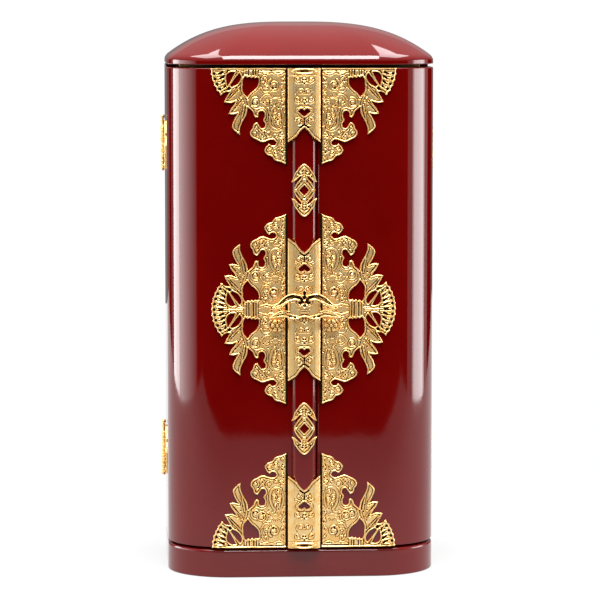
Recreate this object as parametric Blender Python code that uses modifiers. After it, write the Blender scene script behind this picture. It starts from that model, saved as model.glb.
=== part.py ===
"""Miniature Buddhist shrine (zushi): a lacquered case on a low plinth with a domed roof, two hinged
doors that wrap round its front corners, gilt fittings on the doors, and a turning clasp on the batten
that covers the meeting line.

Metres, +Z up. The doors face -Y and the origin is the centre of the plinth's underside.
"""

import math

import bmesh
import bpy
from mathutils import Matrix, Vector

MM = 0.001

# Overall sizes
WIDTH = 86.4 * MM
DEPTH = 70.0 * MM
HEIGHT = 178.0 * MM
CORNER_RADIUS = 20.0 * MM
CORNER_FACETS = 12

# Heights of the plinth and the roof
PLINTH_HEIGHT = 9.1 * MM
PLINTH_ROUNDING = 1.0 * MM
ROOF_RIM_HEIGHT = 2.2 * MM
DOME_HEIGHT = 11.3 * MM
DOME_POWER = 3.1
DOME_RINGS = 9
STEP_HEIGHT = 2.4 * MM

# Walls and clearances
WALL = 3.6 * MM
CONTACT_GAP = 0.3 * MM
MEETING_GAP = 0.3 * MM
DOOR_BOTTOM_GAP = 0.7 * MM
DOOR_TOP_GAP = 1.0 * MM
STEP_CLEARANCE = 0.7 * MM
EDGE_ROUNDING = 0.35 * MM
CUTTER_MARGIN = 4 * MM

# Batten over the meeting line, and the gilt caps on it
BATTEN_WIDTH = 7.8 * MM
BATTEN_THICKNESS = 1.9 * MM
BATTEN_ROUNDING = 0.7 * MM
CAP_METAL = 0.5 * MM
CAP_OVERHANG = 1.25 * MM
CAP_SHOULDER_DROP = 1.1 * MM
CAP_DEPTH = 1.8 * MM
CAP_FLAT_SHARE = 0.66
END_CAP_LENGTH = 23.4 * MM
END_CAP_ARCH_RISE = 4.7 * MM
MIDDLE_CAP_LENGTH = 45.8 * MM
HEART_WIDTH = 3.9 * MM
HEART_HEIGHT = 2.35 * MM
HEART_TO_ARCH = 4.7 * MM
LOZENGE_THICKNESS = 0.5 * MM

# Pierced plates on the doors
FITTING_THICKNESS = 0.5 * MM
FITTING_GAP_TO_CAP = 0.35 * MM
FAN_CENTRE = 10.77 * MM
FAN_RADIUS = 13.43 * MM
FAN_HALF_ANGLE = math.radians(40.4)
FAN_SCALLOPS = 11
SCALLOP_DEPTH = 0.3 * MM

# Door knobs
KNOB_RADIUS = 2.2 * MM
KNOB_OFFSET = 8.6 * MM
KNOB_DROP = 5.65 * MM
KNOB_LENGTH = 2.1 * MM
KNOB_HEAD_SHARE = 0.55
KNOB_ROUNDING = 0.4 * MM
KNOB_STEM_SHARE = 0.5
KNOB_PETAL_DEPTH = 0.07
KNOB_PETALS = 6
PETAL_POINTS = 4

# Turning clasp
CLASP_ABOVE_MIDDLE = 0.6 * MM
CLASP_THICKNESS = 0.9 * MM
CLASP_RAISE = 0.6 * MM
CLASP_RIB_HALF_WIDTH = 2.5 * MM
CLASP_RIB_TOP = 1.5 * MM
CLASP_RIB_BOTTOM = -0.6 * MM
CLASP_SWING_CLEARANCE = 0.45 * MM
CLASP_PIN_RADIUS = 0.9 * MM
CLASP_PIN_CLEARANCE = 0.2 * MM

# Hinges
HINGE_AXIS_OFFSET = 1.0 * MM
UPPER_HINGE_DROP = 25.7 * MM
LOWER_HINGE_RISE = 27.3 * MM
HINGE_BARREL_LENGTH = 16.4 * MM
HINGE_BARREL_RADIUS = 0.8 * MM
HINGE_PIN_RADIUS = 0.35 * MM
HINGE_PIN_CLEARANCE = 0.15 * MM
HINGE_LEAF_THICKNESS = 0.5 * MM
HINGE_LEAF_LENGTH = 8.6 * MM
LEAF_SET_BACK = 0.2 * MM
LEAF_SINK = 0.1 * MM
HINGE_FINIAL_RADIUS = 0.75 * MM
BARREL_SIDES = 12

# Places worked out from the sizes above
HALF_WIDTH = WIDTH / 2
HALF_DEPTH = DEPTH / 2
DOOR_BOTTOM = PLINTH_HEIGHT + DOOR_BOTTOM_GAP
ROOF_BOTTOM = HEIGHT - DOME_HEIGHT - ROOF_RIM_HEIGHT
DOOR_TOP = ROOF_BOTTOM - DOOR_TOP_GAP
DOOR_MIDDLE = (DOOR_BOTTOM + DOOR_TOP) / 2
DOOR_HEIGHT = DOOR_TOP - DOOR_BOTTOM
FRONT = -HALF_DEPTH
BATTEN_BACK = FRONT - CONTACT_GAP
BATTEN_FRONT = BATTEN_BACK - BATTEN_THICKNESS
MEETING_LINE = BATTEN_WIDTH / 2 + MEETING_GAP
CAP_HALF_WIDTH = BATTEN_WIDTH / 2 + CAP_OVERHANG
CAP_FRONT = BATTEN_FRONT - CONTACT_GAP - CAP_METAL
FITTING_INNER = CAP_HALF_WIDTH + FITTING_GAP_TO_CAP
HINGE_AXIS_X = HALF_WIDTH + HINGE_AXIS_OFFSET
CLASP_HEIGHT = DOOR_MIDDLE + CLASP_ABOVE_MIDDLE

RED_LACQUER = ("red_lacquer", (0.22, 0.006, 0.006), 0.12, 0.0)
GILT_BRASS = ("gilt_brass", (0.85, 0.62, 0.30), 0.3, 1.0)


def clear_scene():
    for obj in list(bpy.data.objects):
        bpy.data.objects.remove(obj, do_unlink=True)


def new_collection(name):
    collection = bpy.data.collections.new(name)
    bpy.context.scene.collection.children.link(collection)
    return collection


def material(finish):
    name, colour, roughness, metallic = finish
    found = bpy.data.materials.get(name)
    if found:
        return found
    made = bpy.data.materials.new(name)
    made.use_nodes = True
    shader = made.node_tree.nodes["Principled BSDF"]
    shader.inputs["Base Color"].default_value = (*colour, 1.0)
    shader.inputs["Roughness"].default_value = roughness
    shader.inputs["Metallic"].default_value = metallic
    return made


clear_scene()
SHRINE = new_collection("miniature_shrine")
CUTTERS = new_collection("cutters")


def place(name, mesh, finish=None):
    """An object of the shrine, or a cutter where no finish is given."""
    mesh.name = name
    obj = bpy.data.objects.new(name, mesh)
    if finish is None:
        CUTTERS.objects.link(obj)
        obj.hide_render = True
        obj.display_type = "WIRE"
        return obj
    mesh.materials.clear()
    mesh.materials.append(material(finish))
    SHRINE.objects.link(obj)
    return obj


def boolean(obj, other, operation):
    modifier = obj.modifiers.new(f"{operation.lower()} {other.name}", "BOOLEAN")
    modifier.operation = operation
    modifier.solver = "EXACT"
    modifier.object = other


def bevel(obj, width, segments=1, angle=50):
    modifier = obj.modifiers.new("rounded edges", "BEVEL")
    modifier.width = width
    modifier.segments = segments
    modifier.limit_method = "ANGLE"
    modifier.angle_limit = math.radians(angle)


def smooth(obj, angle=40):
    obj.data.shade_smooth()
    obj.data.set_sharp_from_angle(angle=math.radians(angle))


def mesh_of_outlines(outlines, thickness, matrix):
    """A flat plate from closed outlines, the first with the rest as holes in it, moved by matrix."""
    curve = bpy.data.curves.new("outline", "CURVE")
    curve.dimensions = "2D"
    curve.fill_mode = "BOTH"
    curve.extrude = thickness / 2
    for outline in outlines:
        spline = curve.splines.new("POLY")
        spline.points.add(len(outline) - 1)
        for point, (x, y) in zip(spline.points, outline):
            point.co = (x, y, 0, 1)
        spline.use_cyclic_u = True
    guide = bpy.data.objects.new("outline", curve)
    bpy.context.scene.collection.objects.link(guide)
    graph = bpy.context.evaluated_depsgraph_get()
    mesh = bpy.data.meshes.new_from_object(guide.evaluated_get(graph))
    bpy.data.objects.remove(guide, do_unlink=True)
    bpy.data.curves.remove(curve)
    form = bmesh.new()
    form.from_mesh(mesh)
    bmesh.ops.remove_doubles(form, verts=form.verts, dist=1e-6)
    bmesh.ops.recalc_face_normals(form, faces=form.faces)
    if form.calc_volume(signed=True) < 0:
        bmesh.ops.reverse_faces(form, faces=form.faces)
    form.to_mesh(mesh)
    form.free()
    mesh.transform(matrix)
    return mesh


def upright(low, high):
    """Thickness and matrix that stand a plan outline from low to high."""
    return high - low, Matrix.Translation((0, 0, (low + high) / 2))


def facing(back, front, height=0.0):
    """Thickness and matrix that turn an outline in x and z to face -Y between back and front."""
    turn = Matrix.Rotation(math.pi / 2, 4, "X")
    return back - front, Matrix.Translation((0, (back + front) / 2, height)) @ turn


def sideways(inner, outer, height):
    """Thickness and matrix that turn an outline in y and z to face sideways between inner and outer x."""
    turn = Matrix(((0, 0, 1, 0), (1, 0, 0, 0), (0, 1, 0, 0), (0, 0, 0, 1)))
    return abs(outer - inner), Matrix.Translation(((inner + outer) / 2, 0, height)) @ turn


def cylinder_mesh(radius, length, matrix):
    mesh = bpy.data.meshes.new("cylinder")
    form = bmesh.new()
    bmesh.ops.create_cone(
        form, cap_ends=True, segments=BARREL_SIDES, radius1=radius, radius2=radius, depth=length
    )
    form.to_mesh(mesh)
    form.free()
    mesh.transform(matrix)
    return mesh


def quarter_plan(inset):
    """Plan points round the front right corner, from the front face to the side face."""
    radius = CORNER_RADIUS - inset
    centre_x = HALF_WIDTH - CORNER_RADIUS
    centre_y = -(HALF_DEPTH - CORNER_RADIUS)
    points = []
    for step in range(CORNER_FACETS + 1):
        angle = math.pi / 2 * (step / CORNER_FACETS - 1)
        points.append((centre_x + radius * math.cos(angle), centre_y + radius * math.sin(angle)))
    return points


def whole_plan(inset=0.0, share=1.0):
    """The closed plan, drawn in by inset and then scaled by share."""
    quarter = quarter_plan(inset)
    right = quarter + [(x, -y) for x, y in reversed(quarter)]
    around = right + [(-x, y) for x, y in reversed(right)]
    return [(x * share, y * share) for x, y in around]


def drop_at(x):
    """How far the case's front surface lies behind its flat front at this x."""
    points = [(0.0, FRONT)] + quarter_plan(0.0)
    for (x0, y0), (x1, y1) in zip(points, points[1:]):
        if x0 <= abs(x) <= x1 and x1 > x0:
            return y0 + (y1 - y0) * (abs(x) - x0) / (x1 - x0) - FRONT
    return 0.0


def loft(rings):
    """A closed mesh through rings of (points, height) with equal counts, capped at both ends."""
    mesh = bpy.data.meshes.new("loft")
    form = bmesh.new()
    loops = [[form.verts.new((x, y, height)) for x, y in points] for points, height in rings]
    count = len(loops[0])
    for below, above in zip(loops, loops[1:]):
        for i in range(count):
            j = (i + 1) % count
            form.faces.new((below[i], below[j], above[j], above[i]))
    form.faces.new(list(reversed(loops[0])))
    form.faces.new(loops[-1])
    form.to_mesh(mesh)
    form.free()
    return mesh


def make_base():
    """Plinth with a raised inner floor that the closed doors meet."""
    plinth = place(
        "base", mesh_of_outlines([whole_plan()], *upright(0, PLINTH_HEIGHT)), RED_LACQUER
    )
    bevel(plinth, PLINTH_ROUNDING, segments=2)
    inset = WALL + STEP_CLEARANCE
    top = PLINTH_HEIGHT + STEP_HEIGHT
    floor = place(
        "floor_step", mesh_of_outlines([whole_plan(inset)], *upright(PLINTH_HEIGHT / 2, top))
    )
    boolean(plinth, floor, "UNION")
    smooth(plinth)
    return plinth


def make_roof():
    """Rim and low dome, with a shallow plug below that the door tops close against."""
    inset = WALL + STEP_CLEARANCE
    rim_top = ROOF_BOTTOM + ROOF_RIM_HEIGHT
    rings = [
        (whole_plan(inset), ROOF_BOTTOM - STEP_HEIGHT + DOOR_TOP_GAP),
        (whole_plan(inset), ROOF_BOTTOM),
        (whole_plan(EDGE_ROUNDING), ROOF_BOTTOM),
        (whole_plan(), ROOF_BOTTOM + EDGE_ROUNDING),
        (whole_plan(), rim_top),
    ]
    for step in range(1, DOME_RINGS + 1):
        share = 1 - (step / (DOME_RINGS + 0.6)) ** 1.6
        rings.append((whole_plan(share=share), rim_top + DOME_HEIGHT * (1 - share**DOME_POWER)))
    roof = place("roof", loft(rings), RED_LACQUER)
    smooth(roof)
    return roof


def make_back_shell():
    """Back and rear half of both sides, in one U-shaped wall."""
    half_gap = MEETING_GAP / 2
    outer = [(x, -y) for x, y in quarter_plan(0.0)]
    inner = [(x, -y) for x, y in quarter_plan(WALL)]
    outer = [(HALF_WIDTH, half_gap)] + list(reversed(outer))
    inner = [(HALF_WIDTH - WALL, half_gap)] + list(reversed(inner))
    outline = outer + [(-x, y) for x, y in reversed(outer)]
    outline += [(-x, y) for x, y in inner] + list(reversed(inner))
    low = PLINTH_HEIGHT + CONTACT_GAP
    high = ROOF_BOTTOM - CONTACT_GAP
    shell = place("back_shell", mesh_of_outlines([outline], *upright(low, high)), RED_LACQUER)
    smooth(shell)
    return shell


def make_door(name, side, meeting_x):
    """A door leaf round one front corner, from the hinge side to meeting_x, measured towards its side."""
    half_gap = MEETING_GAP / 2
    outer = [(meeting_x, FRONT)] + quarter_plan(0.0) + [(HALF_WIDTH, -half_gap)]
    inner = [(meeting_x, FRONT + WALL)] + quarter_plan(WALL) + [(HALF_WIDTH - WALL, -half_gap)]
    outline = [(side * x, y) for x, y in outer + list(reversed(inner))]
    door = place(name, mesh_of_outlines([outline], *upright(DOOR_BOTTOM, DOOR_TOP)), RED_LACQUER)
    bevel(door, EDGE_ROUNDING)
    smooth(door)
    return door


def pin_cutter(name, back, front):
    radius = CLASP_PIN_RADIUS + CLASP_PIN_CLEARANCE
    turn = Matrix.Rotation(math.pi / 2, 4, "X")
    middle = Matrix.Translation((0, (back + front) / 2, CLASP_HEIGHT))
    return place(name, cylinder_mesh(radius, back - front, middle @ turn))


def make_batten():
    """Flat moulding with rounded shoulders on the left door, bored for the clasp's pin."""
    half = BATTEN_WIDTH / 2
    outline = [(-half, BATTEN_BACK), (-half, BATTEN_FRONT), (half, BATTEN_FRONT), (half, BATTEN_BACK)]
    batten = place(
        "batten", mesh_of_outlines([outline], *upright(DOOR_BOTTOM, DOOR_TOP)), RED_LACQUER
    )
    bevel(batten, BATTEN_ROUNDING, segments=2)
    boolean(batten, pin_cutter("batten_bore", BATTEN_BACK + MM, BATTEN_FRONT - MM), "DIFFERENCE")
    smooth(batten)
    return batten


def arch(rise):
    """Half of a pointed ogee arch as (x, z) from its apex out to a corner tip, rise below the apex."""
    shares = [(0.0, 0.0), (0.14, 0.13), (0.31, 0.33), (0.49, 0.6), (0.71, 0.78), (1.0, 1.0)]
    return [(across * CAP_HALF_WIDTH, -down * rise) for across, down in shares]


def arch_cutter(name, apex, direction):
    """Everything beyond a pointed arch, whose apex points into the cap. direction is -1 below the cap."""
    beyond = CUTTER_MARGIN
    half = arch(END_CAP_ARCH_RISE)
    curve = [(x, apex - direction * z) for x, z in half]
    tip = curve[-1][1] + direction * beyond
    edge = CAP_HALF_WIDTH + beyond
    right = curve + [(edge, curve[-1][1] + direction * beyond / 2), (edge, tip)]
    outline = right + [(-x, z) for x, z in reversed(right[1:])]
    back, front = FRONT + MM, CAP_FRONT - MM
    return place(name, mesh_of_outlines([outline], *facing(back, front)))


def heart_cutter(name, height, direction):
    """A heart whose point looks along direction, 1 for up."""
    half = HEART_WIDTH / 2
    right = [(0.0, -0.28), (0.3, -0.5), (0.75, -0.46), (1.0, -0.12), (0.62, 0.16), (0.0, 0.5)]
    points = [(x * half, z * HEART_HEIGHT * direction) for x, z in right]
    outline = points + [(-x, z) for x, z in reversed(points[1:-1])]
    back, front = FRONT + MM, CAP_FRONT - MM
    return place(name, mesh_of_outlines([outline], *facing(back, front, height)))


def make_cap(name, low, high, arches):
    """A gilt sleeve over the batten. arches lists the ends, -1 for low and 1 for high, that are arched."""
    flat = CAP_HALF_WIDTH * CAP_FLAT_SHARE
    cheek_front = CAP_FRONT + CAP_SHOULDER_DROP
    cheek_back = CAP_FRONT + CAP_DEPTH
    inner_wall = BATTEN_WIDTH / 2 + CONTACT_GAP
    inner_front = BATTEN_FRONT - CONTACT_GAP
    right = [
        (flat, CAP_FRONT),
        (CAP_HALF_WIDTH, cheek_front),
        (CAP_HALF_WIDTH, cheek_back),
        (inner_wall, cheek_back),
        (inner_wall, inner_front + BATTEN_ROUNDING),
        (inner_wall - BATTEN_ROUNDING, inner_front),
    ]
    outline = right + [(-x, y) for x, y in reversed(right)]
    cap = place(name, mesh_of_outlines([outline], *upright(low, high)), GILT_BRASS)
    for end in arches:
        tip = high if end > 0 else low
        apex = tip - end * END_CAP_ARCH_RISE
        boolean(cap, arch_cutter(f"{name}_arch_{end}", apex, end), "DIFFERENCE")
        heart = apex - end * HEART_TO_ARCH
        boolean(cap, heart_cutter(f"{name}_heart_{end}", heart, end), "DIFFERENCE")
    smooth(cap)
    return cap


def lozenge_outline():
    """Tulip caps above and below an open diamond frame, in millimetres about its centre."""
    quarter = [
        (0.0, 8.4), (1.3, 7.6), (2.3, 6.3), (3.2, 5.0), (3.5, 3.8), (4.15, 2.5), (3.2, 2.8),
        (2.3, 3.5), (1.5, 4.3), (1.25, 3.7), (2.2, 2.6), (3.0, 1.4), (3.35, 0.0),
    ]
    right = quarter + [(x, -z) for x, z in reversed(quarter[:-1])]
    return right + [(-x, z) for x, z in reversed(right[1:-1])]


def make_lozenge(name, height):
    hole = [(1.6, 0.0), (0.0, 1.75), (-1.6, 0.0), (0.0, -1.75)]
    loops = [[(x * MM, z * MM) for x, z in loop] for loop in (lozenge_outline(), hole)]
    back = BATTEN_FRONT - CONTACT_GAP
    mesh = mesh_of_outlines(loops, *facing(back, back - LOZENGE_THICKNESS, height))
    return place(name, mesh, GILT_BRASS)


def fan_edge():
    """Scalloped edge of the fan, from its upper end to the centre line, measured like the fitting."""
    steps = FAN_SCALLOPS * 2
    points = []
    for step in range(steps + 1):
        angle = FAN_HALF_ANGLE * (1 - step / steps)
        radius = FAN_RADIUS - SCALLOP_DEPTH * abs(math.cos(step * math.pi / 4))
        points.append((FAN_CENTRE + radius * math.cos(angle), radius * math.sin(angle)))
    return points


def fitting_half():
    """Upper half of a door plate as (outer edge, holes). x runs from the plate's straight inner edge and
    z from its centre line, in metres."""
    outline = [
        (0.0, 30.6), (1.7, 29.8), (3.7, 29.2), (4.7, 28.0), (6.2, 27.4), (7.0, 26.2), (6.5, 24.9),
        (5.5, 23.9), (4.6, 24.6), (3.6, 24.3), (3.2, 23.5), (4.3, 22.6), (5.9, 22.9), (7.7, 23.4),
        (9.6, 22.6), (11.2, 21.6), (11.6, 20.2), (10.8, 19.0), (10.5, 17.8), (9.4, 17.1),
        (8.6, 18.3), (7.9, 19.1), (7.0, 18.8), (6.7, 17.8), (7.4, 16.4), (6.9, 15.2),
        (7.1, 14.0), (7.9, 13.5), (8.8, 13.9), (9.0, 15.4), (9.8, 15.6), (10.3, 15.0),
        (10.7, 13.9), (12.4, 12.3), (12.7, 14.4), (13.7, 16.4), (14.4, 17.8), (14.9, 19.6),
        (14.8, 21.1), (15.9, 20.3), (17.2, 18.8), (16.9, 16.9), (15.4, 14.2), (16.8, 14.6),
        (18.4, 14.5), (17.7, 12.9), (16.7, 11.6), (16.0, 10.4), (17.8, 11.0), (19.9, 10.8),
        (19.1, 9.2), (18.0, 7.4), (19.4, 7.5),
    ]
    teardrop = [
        (12.5, 9.3), (11.5, 7.9), (9.9, 6.6), (9.0, 5.2), (8.9, 3.1), (10.1, 2.9), (11.5, 2.7),
        (12.8, 2.5), (13.6, 3.1), (14.0, 5.4), (13.9, 7.4),
    ]
    leaf_side = [(17.4, 6.0), (18.0, 5.4), (16.7, 3.6), (15.0, 1.5), (14.4, 2.6), (15.6, 5.0)]
    fan_side = [(18.8, 5.7), (17.5, 3.6), (16.3, 1.2), (17.9, 1.2), (19.2, 2.5)]
    outer = [(x * MM, z * MM) for x, z in outline] + fan_edge()
    holes = [[(x * MM, z * MM) for x, z in loop] for loop in (teardrop, leaf_side, fan_side)]
    return outer, holes


def fitting_loops(halves):
    """Loops of a plate made of the given halves, 1 for the upper and -1 for the lower one."""
    outer, holes = fitting_half()
    loops = []
    if len(halves) == 2:
        loops.append(outer + [(x, -z) for x, z in reversed(outer[:-1])])
    else:
        loops.append([(0.0, 0.0)] + [(x, halves[0] * z) for x, z in outer])
    for half in halves:
        loops += [[(x, half * z) for x, z in hole] for hole in holes]
    return loops


def bend_round_corner(mesh):
    """Lays a flat plate on the case's front, back round the corner as far as the plate reaches it."""
    form = bmesh.new()
    form.from_mesh(mesh)
    for x, _ in quarter_plan(0.0):
        for side in (-1, 1):
            whole = form.verts[:] + form.edges[:] + form.faces[:]
            bmesh.ops.bisect_plane(
                form, geom=whole, dist=1e-7, plane_co=(side * x, 0, 0), plane_no=(1, 0, 0)
            )
    for vert in form.verts:
        vert.co.y += drop_at(vert.co.x)
    bmesh.ops.triangulate(form, faces=form.faces[:])
    form.to_mesh(mesh)
    form.free()


def make_fitting(name, side, halves, height):
    loops = [
        [(side * (FITTING_INNER + x), z) for x, z in loop] for loop in fitting_loops(halves)
    ]
    back = FRONT - CONTACT_GAP
    mesh = mesh_of_outlines(loops, *facing(back, back - FITTING_THICKNESS, height))
    bend_round_corner(mesh)
    return place(name, mesh, GILT_BRASS)


def make_knob(name, side):
    """Flower-shaped pull on a short stem, standing on the middle plate."""
    height = CLASP_HEIGHT - KNOB_DROP
    back = FRONT - CONTACT_GAP - FITTING_THICKNESS - CONTACT_GAP
    front = back - KNOB_LENGTH
    head_back = front + KNOB_LENGTH * KNOB_HEAD_SHARE
    points = []
    for step in range(KNOB_PETALS * PETAL_POINTS):
        angle = 2 * math.pi * step / (KNOB_PETALS * PETAL_POINTS)
        radius = KNOB_RADIUS * (1 - KNOB_PETAL_DEPTH * (1 - math.cos(KNOB_PETALS * angle)))
        points.append((side * KNOB_OFFSET + radius * math.cos(angle), radius * math.sin(angle)))
    head = mesh_of_outlines([points], *facing(head_back, front, height))
    knob = place(name, head, GILT_BRASS)
    bevel(knob, KNOB_ROUNDING, segments=2)
    turn = Matrix.Rotation(math.pi / 2, 4, "X")
    stem_front = head_back - KNOB_ROUNDING
    middle = Matrix.Translation((side * KNOB_OFFSET, (back + stem_front) / 2, height))
    stem = cylinder_mesh(KNOB_RADIUS * KNOB_STEM_SHARE, back - stem_front, middle @ turn)
    boolean(knob, place(f"{name}_stem", stem), "UNION")
    smooth(knob)
    return knob


def swept_front(x):
    """How far forward the right door's free edge reaches at this x while it swings open."""
    arm = math.hypot(HINGE_AXIS_X - MEETING_LINE - MEETING_GAP / 2, HALF_DEPTH)
    across = HINGE_AXIS_X - x
    return -math.sqrt(arm**2 - across**2)


def clasp_outline():
    """Spade finial, upper and lower pairs of wings, in millimetres about the pin."""
    right = [
        (0.0, 6.2), (0.8, 5.0), (0.45, 4.2), (1.4, 4.3), (3.5, 4.7), (5.5, 4.3), (7.0, 3.4),
        (8.3, 2.2), (9.6, 1.3), (10.5, 0.6), (10.2, 0.1), (8.6, 0.2), (7.0, 0.7), (5.7, 1.7),
        (5.0, 2.0), (5.0, -0.9), (5.7, -0.7), (6.7, -0.5), (8.0, -0.7), (9.3, -1.2),
        (10.5, -1.9), (11.6, -2.8), (10.0, -2.7), (8.5, -2.6), (6.5, -2.6), (4.9, -3.1),
        (3.4, -3.4), (1.8, -3.2), (0.0, -2.5),
    ]
    return right + [(-x, z) for x, z in reversed(right[1:-1])]


def make_clasp():
    """Winged bar that turns on a pin through the batten. Its wings stand forward of the right door's
    swing, as the bar has to clear both doors."""
    outline = [(x * MM, z * MM) for x, z in clasp_outline()]
    back = CAP_FRONT - CONTACT_GAP
    front = back - CLASP_THICKNESS
    mesh = mesh_of_outlines([outline], *facing(back, front, CLASP_HEIGHT))
    form = bmesh.new()
    form.from_mesh(mesh)
    start = CAP_HALF_WIDTH
    for x in (-start, start):
        whole = form.verts[:] + form.edges[:] + form.faces[:]
        bmesh.ops.bisect_plane(form, geom=whole, dist=1e-7, plane_co=(x, 0, 0), plane_no=(1, 0, 0))
    tip = max(x for x, _ in outline)
    slope = (back - swept_front(tip) + CLASP_SWING_CLEARANCE) / (tip - start)
    for vert in form.verts:
        vert.co.y -= slope * max(0.0, abs(vert.co.x) - start)
    bmesh.ops.triangulate(form, faces=form.faces[:])
    form.to_mesh(mesh)
    form.free()
    clasp = place("clasp", mesh, GILT_BRASS)
    half = CLASP_RIB_HALF_WIDTH
    low, high = CLASP_RIB_BOTTOM, CLASP_RIB_TOP
    ribs = [(-half, high), (-half, low), (half, low), (half, high)]
    middle = (back + front) / 2
    block = mesh_of_outlines([ribs], *facing(middle, front - CLASP_RAISE, CLASP_HEIGHT))
    boolean(clasp, place("clasp_ribs", block), "UNION")
    turn = Matrix.Rotation(math.pi / 2, 4, "X")
    pin_back = BATTEN_BACK
    pin_front = back - CLASP_THICKNESS / 2
    middle = Matrix.Translation((0, (pin_back + pin_front) / 2, CLASP_HEIGHT))
    pin = cylinder_mesh(CLASP_PIN_RADIUS, pin_back - pin_front, middle @ turn)
    boolean(clasp, place("clasp_pin", pin), "UNION")
    return clasp


def leaf_plate(side, direction, tabs, height):
    """Flat leaf on the case's side. direction is -1 for the door and 1 for the frame, and tabs lists the
    (low, high) stretches where the leaf reaches its knuckles."""
    clear = HINGE_BARREL_RADIUS + CONTACT_GAP
    half = HINGE_BARREL_LENGTH / 2 - LEAF_SET_BACK
    reach = HINGE_LEAF_LENGTH - clear
    shares = [(0.2, 0.96), (0.32, 0.78), (0.46, 0.84), (0.58, 0.62), (0.72, 0.56), (0.76, 0.36)]
    shares += [(0.87, 0.26), (1.0, 0.0)]
    upper = [(clear, half)] + [(clear + s * reach, h * half) for s, h in shares]
    outline = upper + [(y, -z) for y, z in reversed(upper[:-1])]
    for low, high in tabs:
        outline += [(clear, low)] * (low > -half) + [(0.0, low), (0.0, high)]
        outline += [(clear, high)] * (high < half)
    outline = [(direction * y, z) for y, z in outline]
    inner = HINGE_AXIS_X - HINGE_BARREL_RADIUS + LEAF_SINK
    outer = inner + HINGE_LEAF_THICKNESS
    return mesh_of_outlines([outline], *sideways(side * inner, side * outer, height))


def make_hinge(name, side, height):
    """Frame leaf with the outer knuckles, door leaf with the middle one, and a pin with a ball finial.
    Returns the door leaf."""
    third = HINGE_BARREL_LENGTH / 3
    play = CONTACT_GAP / 2
    axis = Matrix.Translation((side * HINGE_AXIS_X, 0, height))
    half = HINGE_BARREL_LENGTH / 2
    end = half - LEAF_SET_BACK
    frame_tabs = [(-end, -third / 2 - play), (third / 2 + play, end)]
    door_tabs = [(-third / 2 + play, third / 2 - play)]
    for part, direction, tabs in (("frame_leaf", 1, frame_tabs), ("door_leaf", -1, door_tabs)):
        leaf_name = f"{name}_{part}"
        leaf = place(leaf_name, leaf_plate(side, direction, tabs, height), GILT_BRASS)
        for index, (low, high) in enumerate(tabs):
            centre = axis @ Matrix.Translation((0, 0, (low + high) / 2))
            knuckle = cylinder_mesh(HINGE_BARREL_RADIUS, high - low - LEAF_SINK, centre)
            boolean(leaf, place(f"{leaf_name}_knuckle_{index}", knuckle), "UNION")
        bore_radius = HINGE_PIN_RADIUS + HINGE_PIN_CLEARANCE
        bore = cylinder_mesh(bore_radius, HINGE_BARREL_LENGTH + CUTTER_MARGIN, axis)
        boolean(leaf, place(f"{leaf_name}_bore", bore), "DIFFERENCE")
    finial_height = half + HINGE_FINIAL_RADIUS + CONTACT_GAP
    length = half + finial_height
    centre = axis @ Matrix.Translation((0, 0, (finial_height - half) / 2))
    pin = place(f"{name}_pin", cylinder_mesh(HINGE_PIN_RADIUS, length, centre), GILT_BRASS)
    ball = bpy.data.meshes.new("ball")
    form = bmesh.new()
    bmesh.ops.create_uvsphere(form, u_segments=BARREL_SIDES, v_segments=6, radius=HINGE_FINIAL_RADIUS)
    form.to_mesh(ball)
    form.free()
    ball.transform(axis @ Matrix.Translation((0, 0, finial_height)))
    boolean(pin, place(f"{name}_finial", ball), "UNION")
    smooth(pin)
    return leaf


def joint_axis(name, location, parent=None):
    """An empty on a joint's axis, which carries the pieces that turn about it."""
    empty = bpy.data.objects.new(name, None)
    empty.empty_display_size = 10 * MM
    SHRINE.objects.link(empty)
    empty.location = location
    if parent:
        empty.parent = parent
        empty.location = Vector(location) - parent.location
    return empty


def carry(empty, pieces):
    """Hangs pieces that are modelled in place on an empty that isn't turned."""
    origin = Vector(empty.location)
    if empty.parent:
        origin += empty.parent.location
    for piece in pieces:
        piece.data.transform(Matrix.Translation(-origin))
        piece.parent = empty


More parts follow.
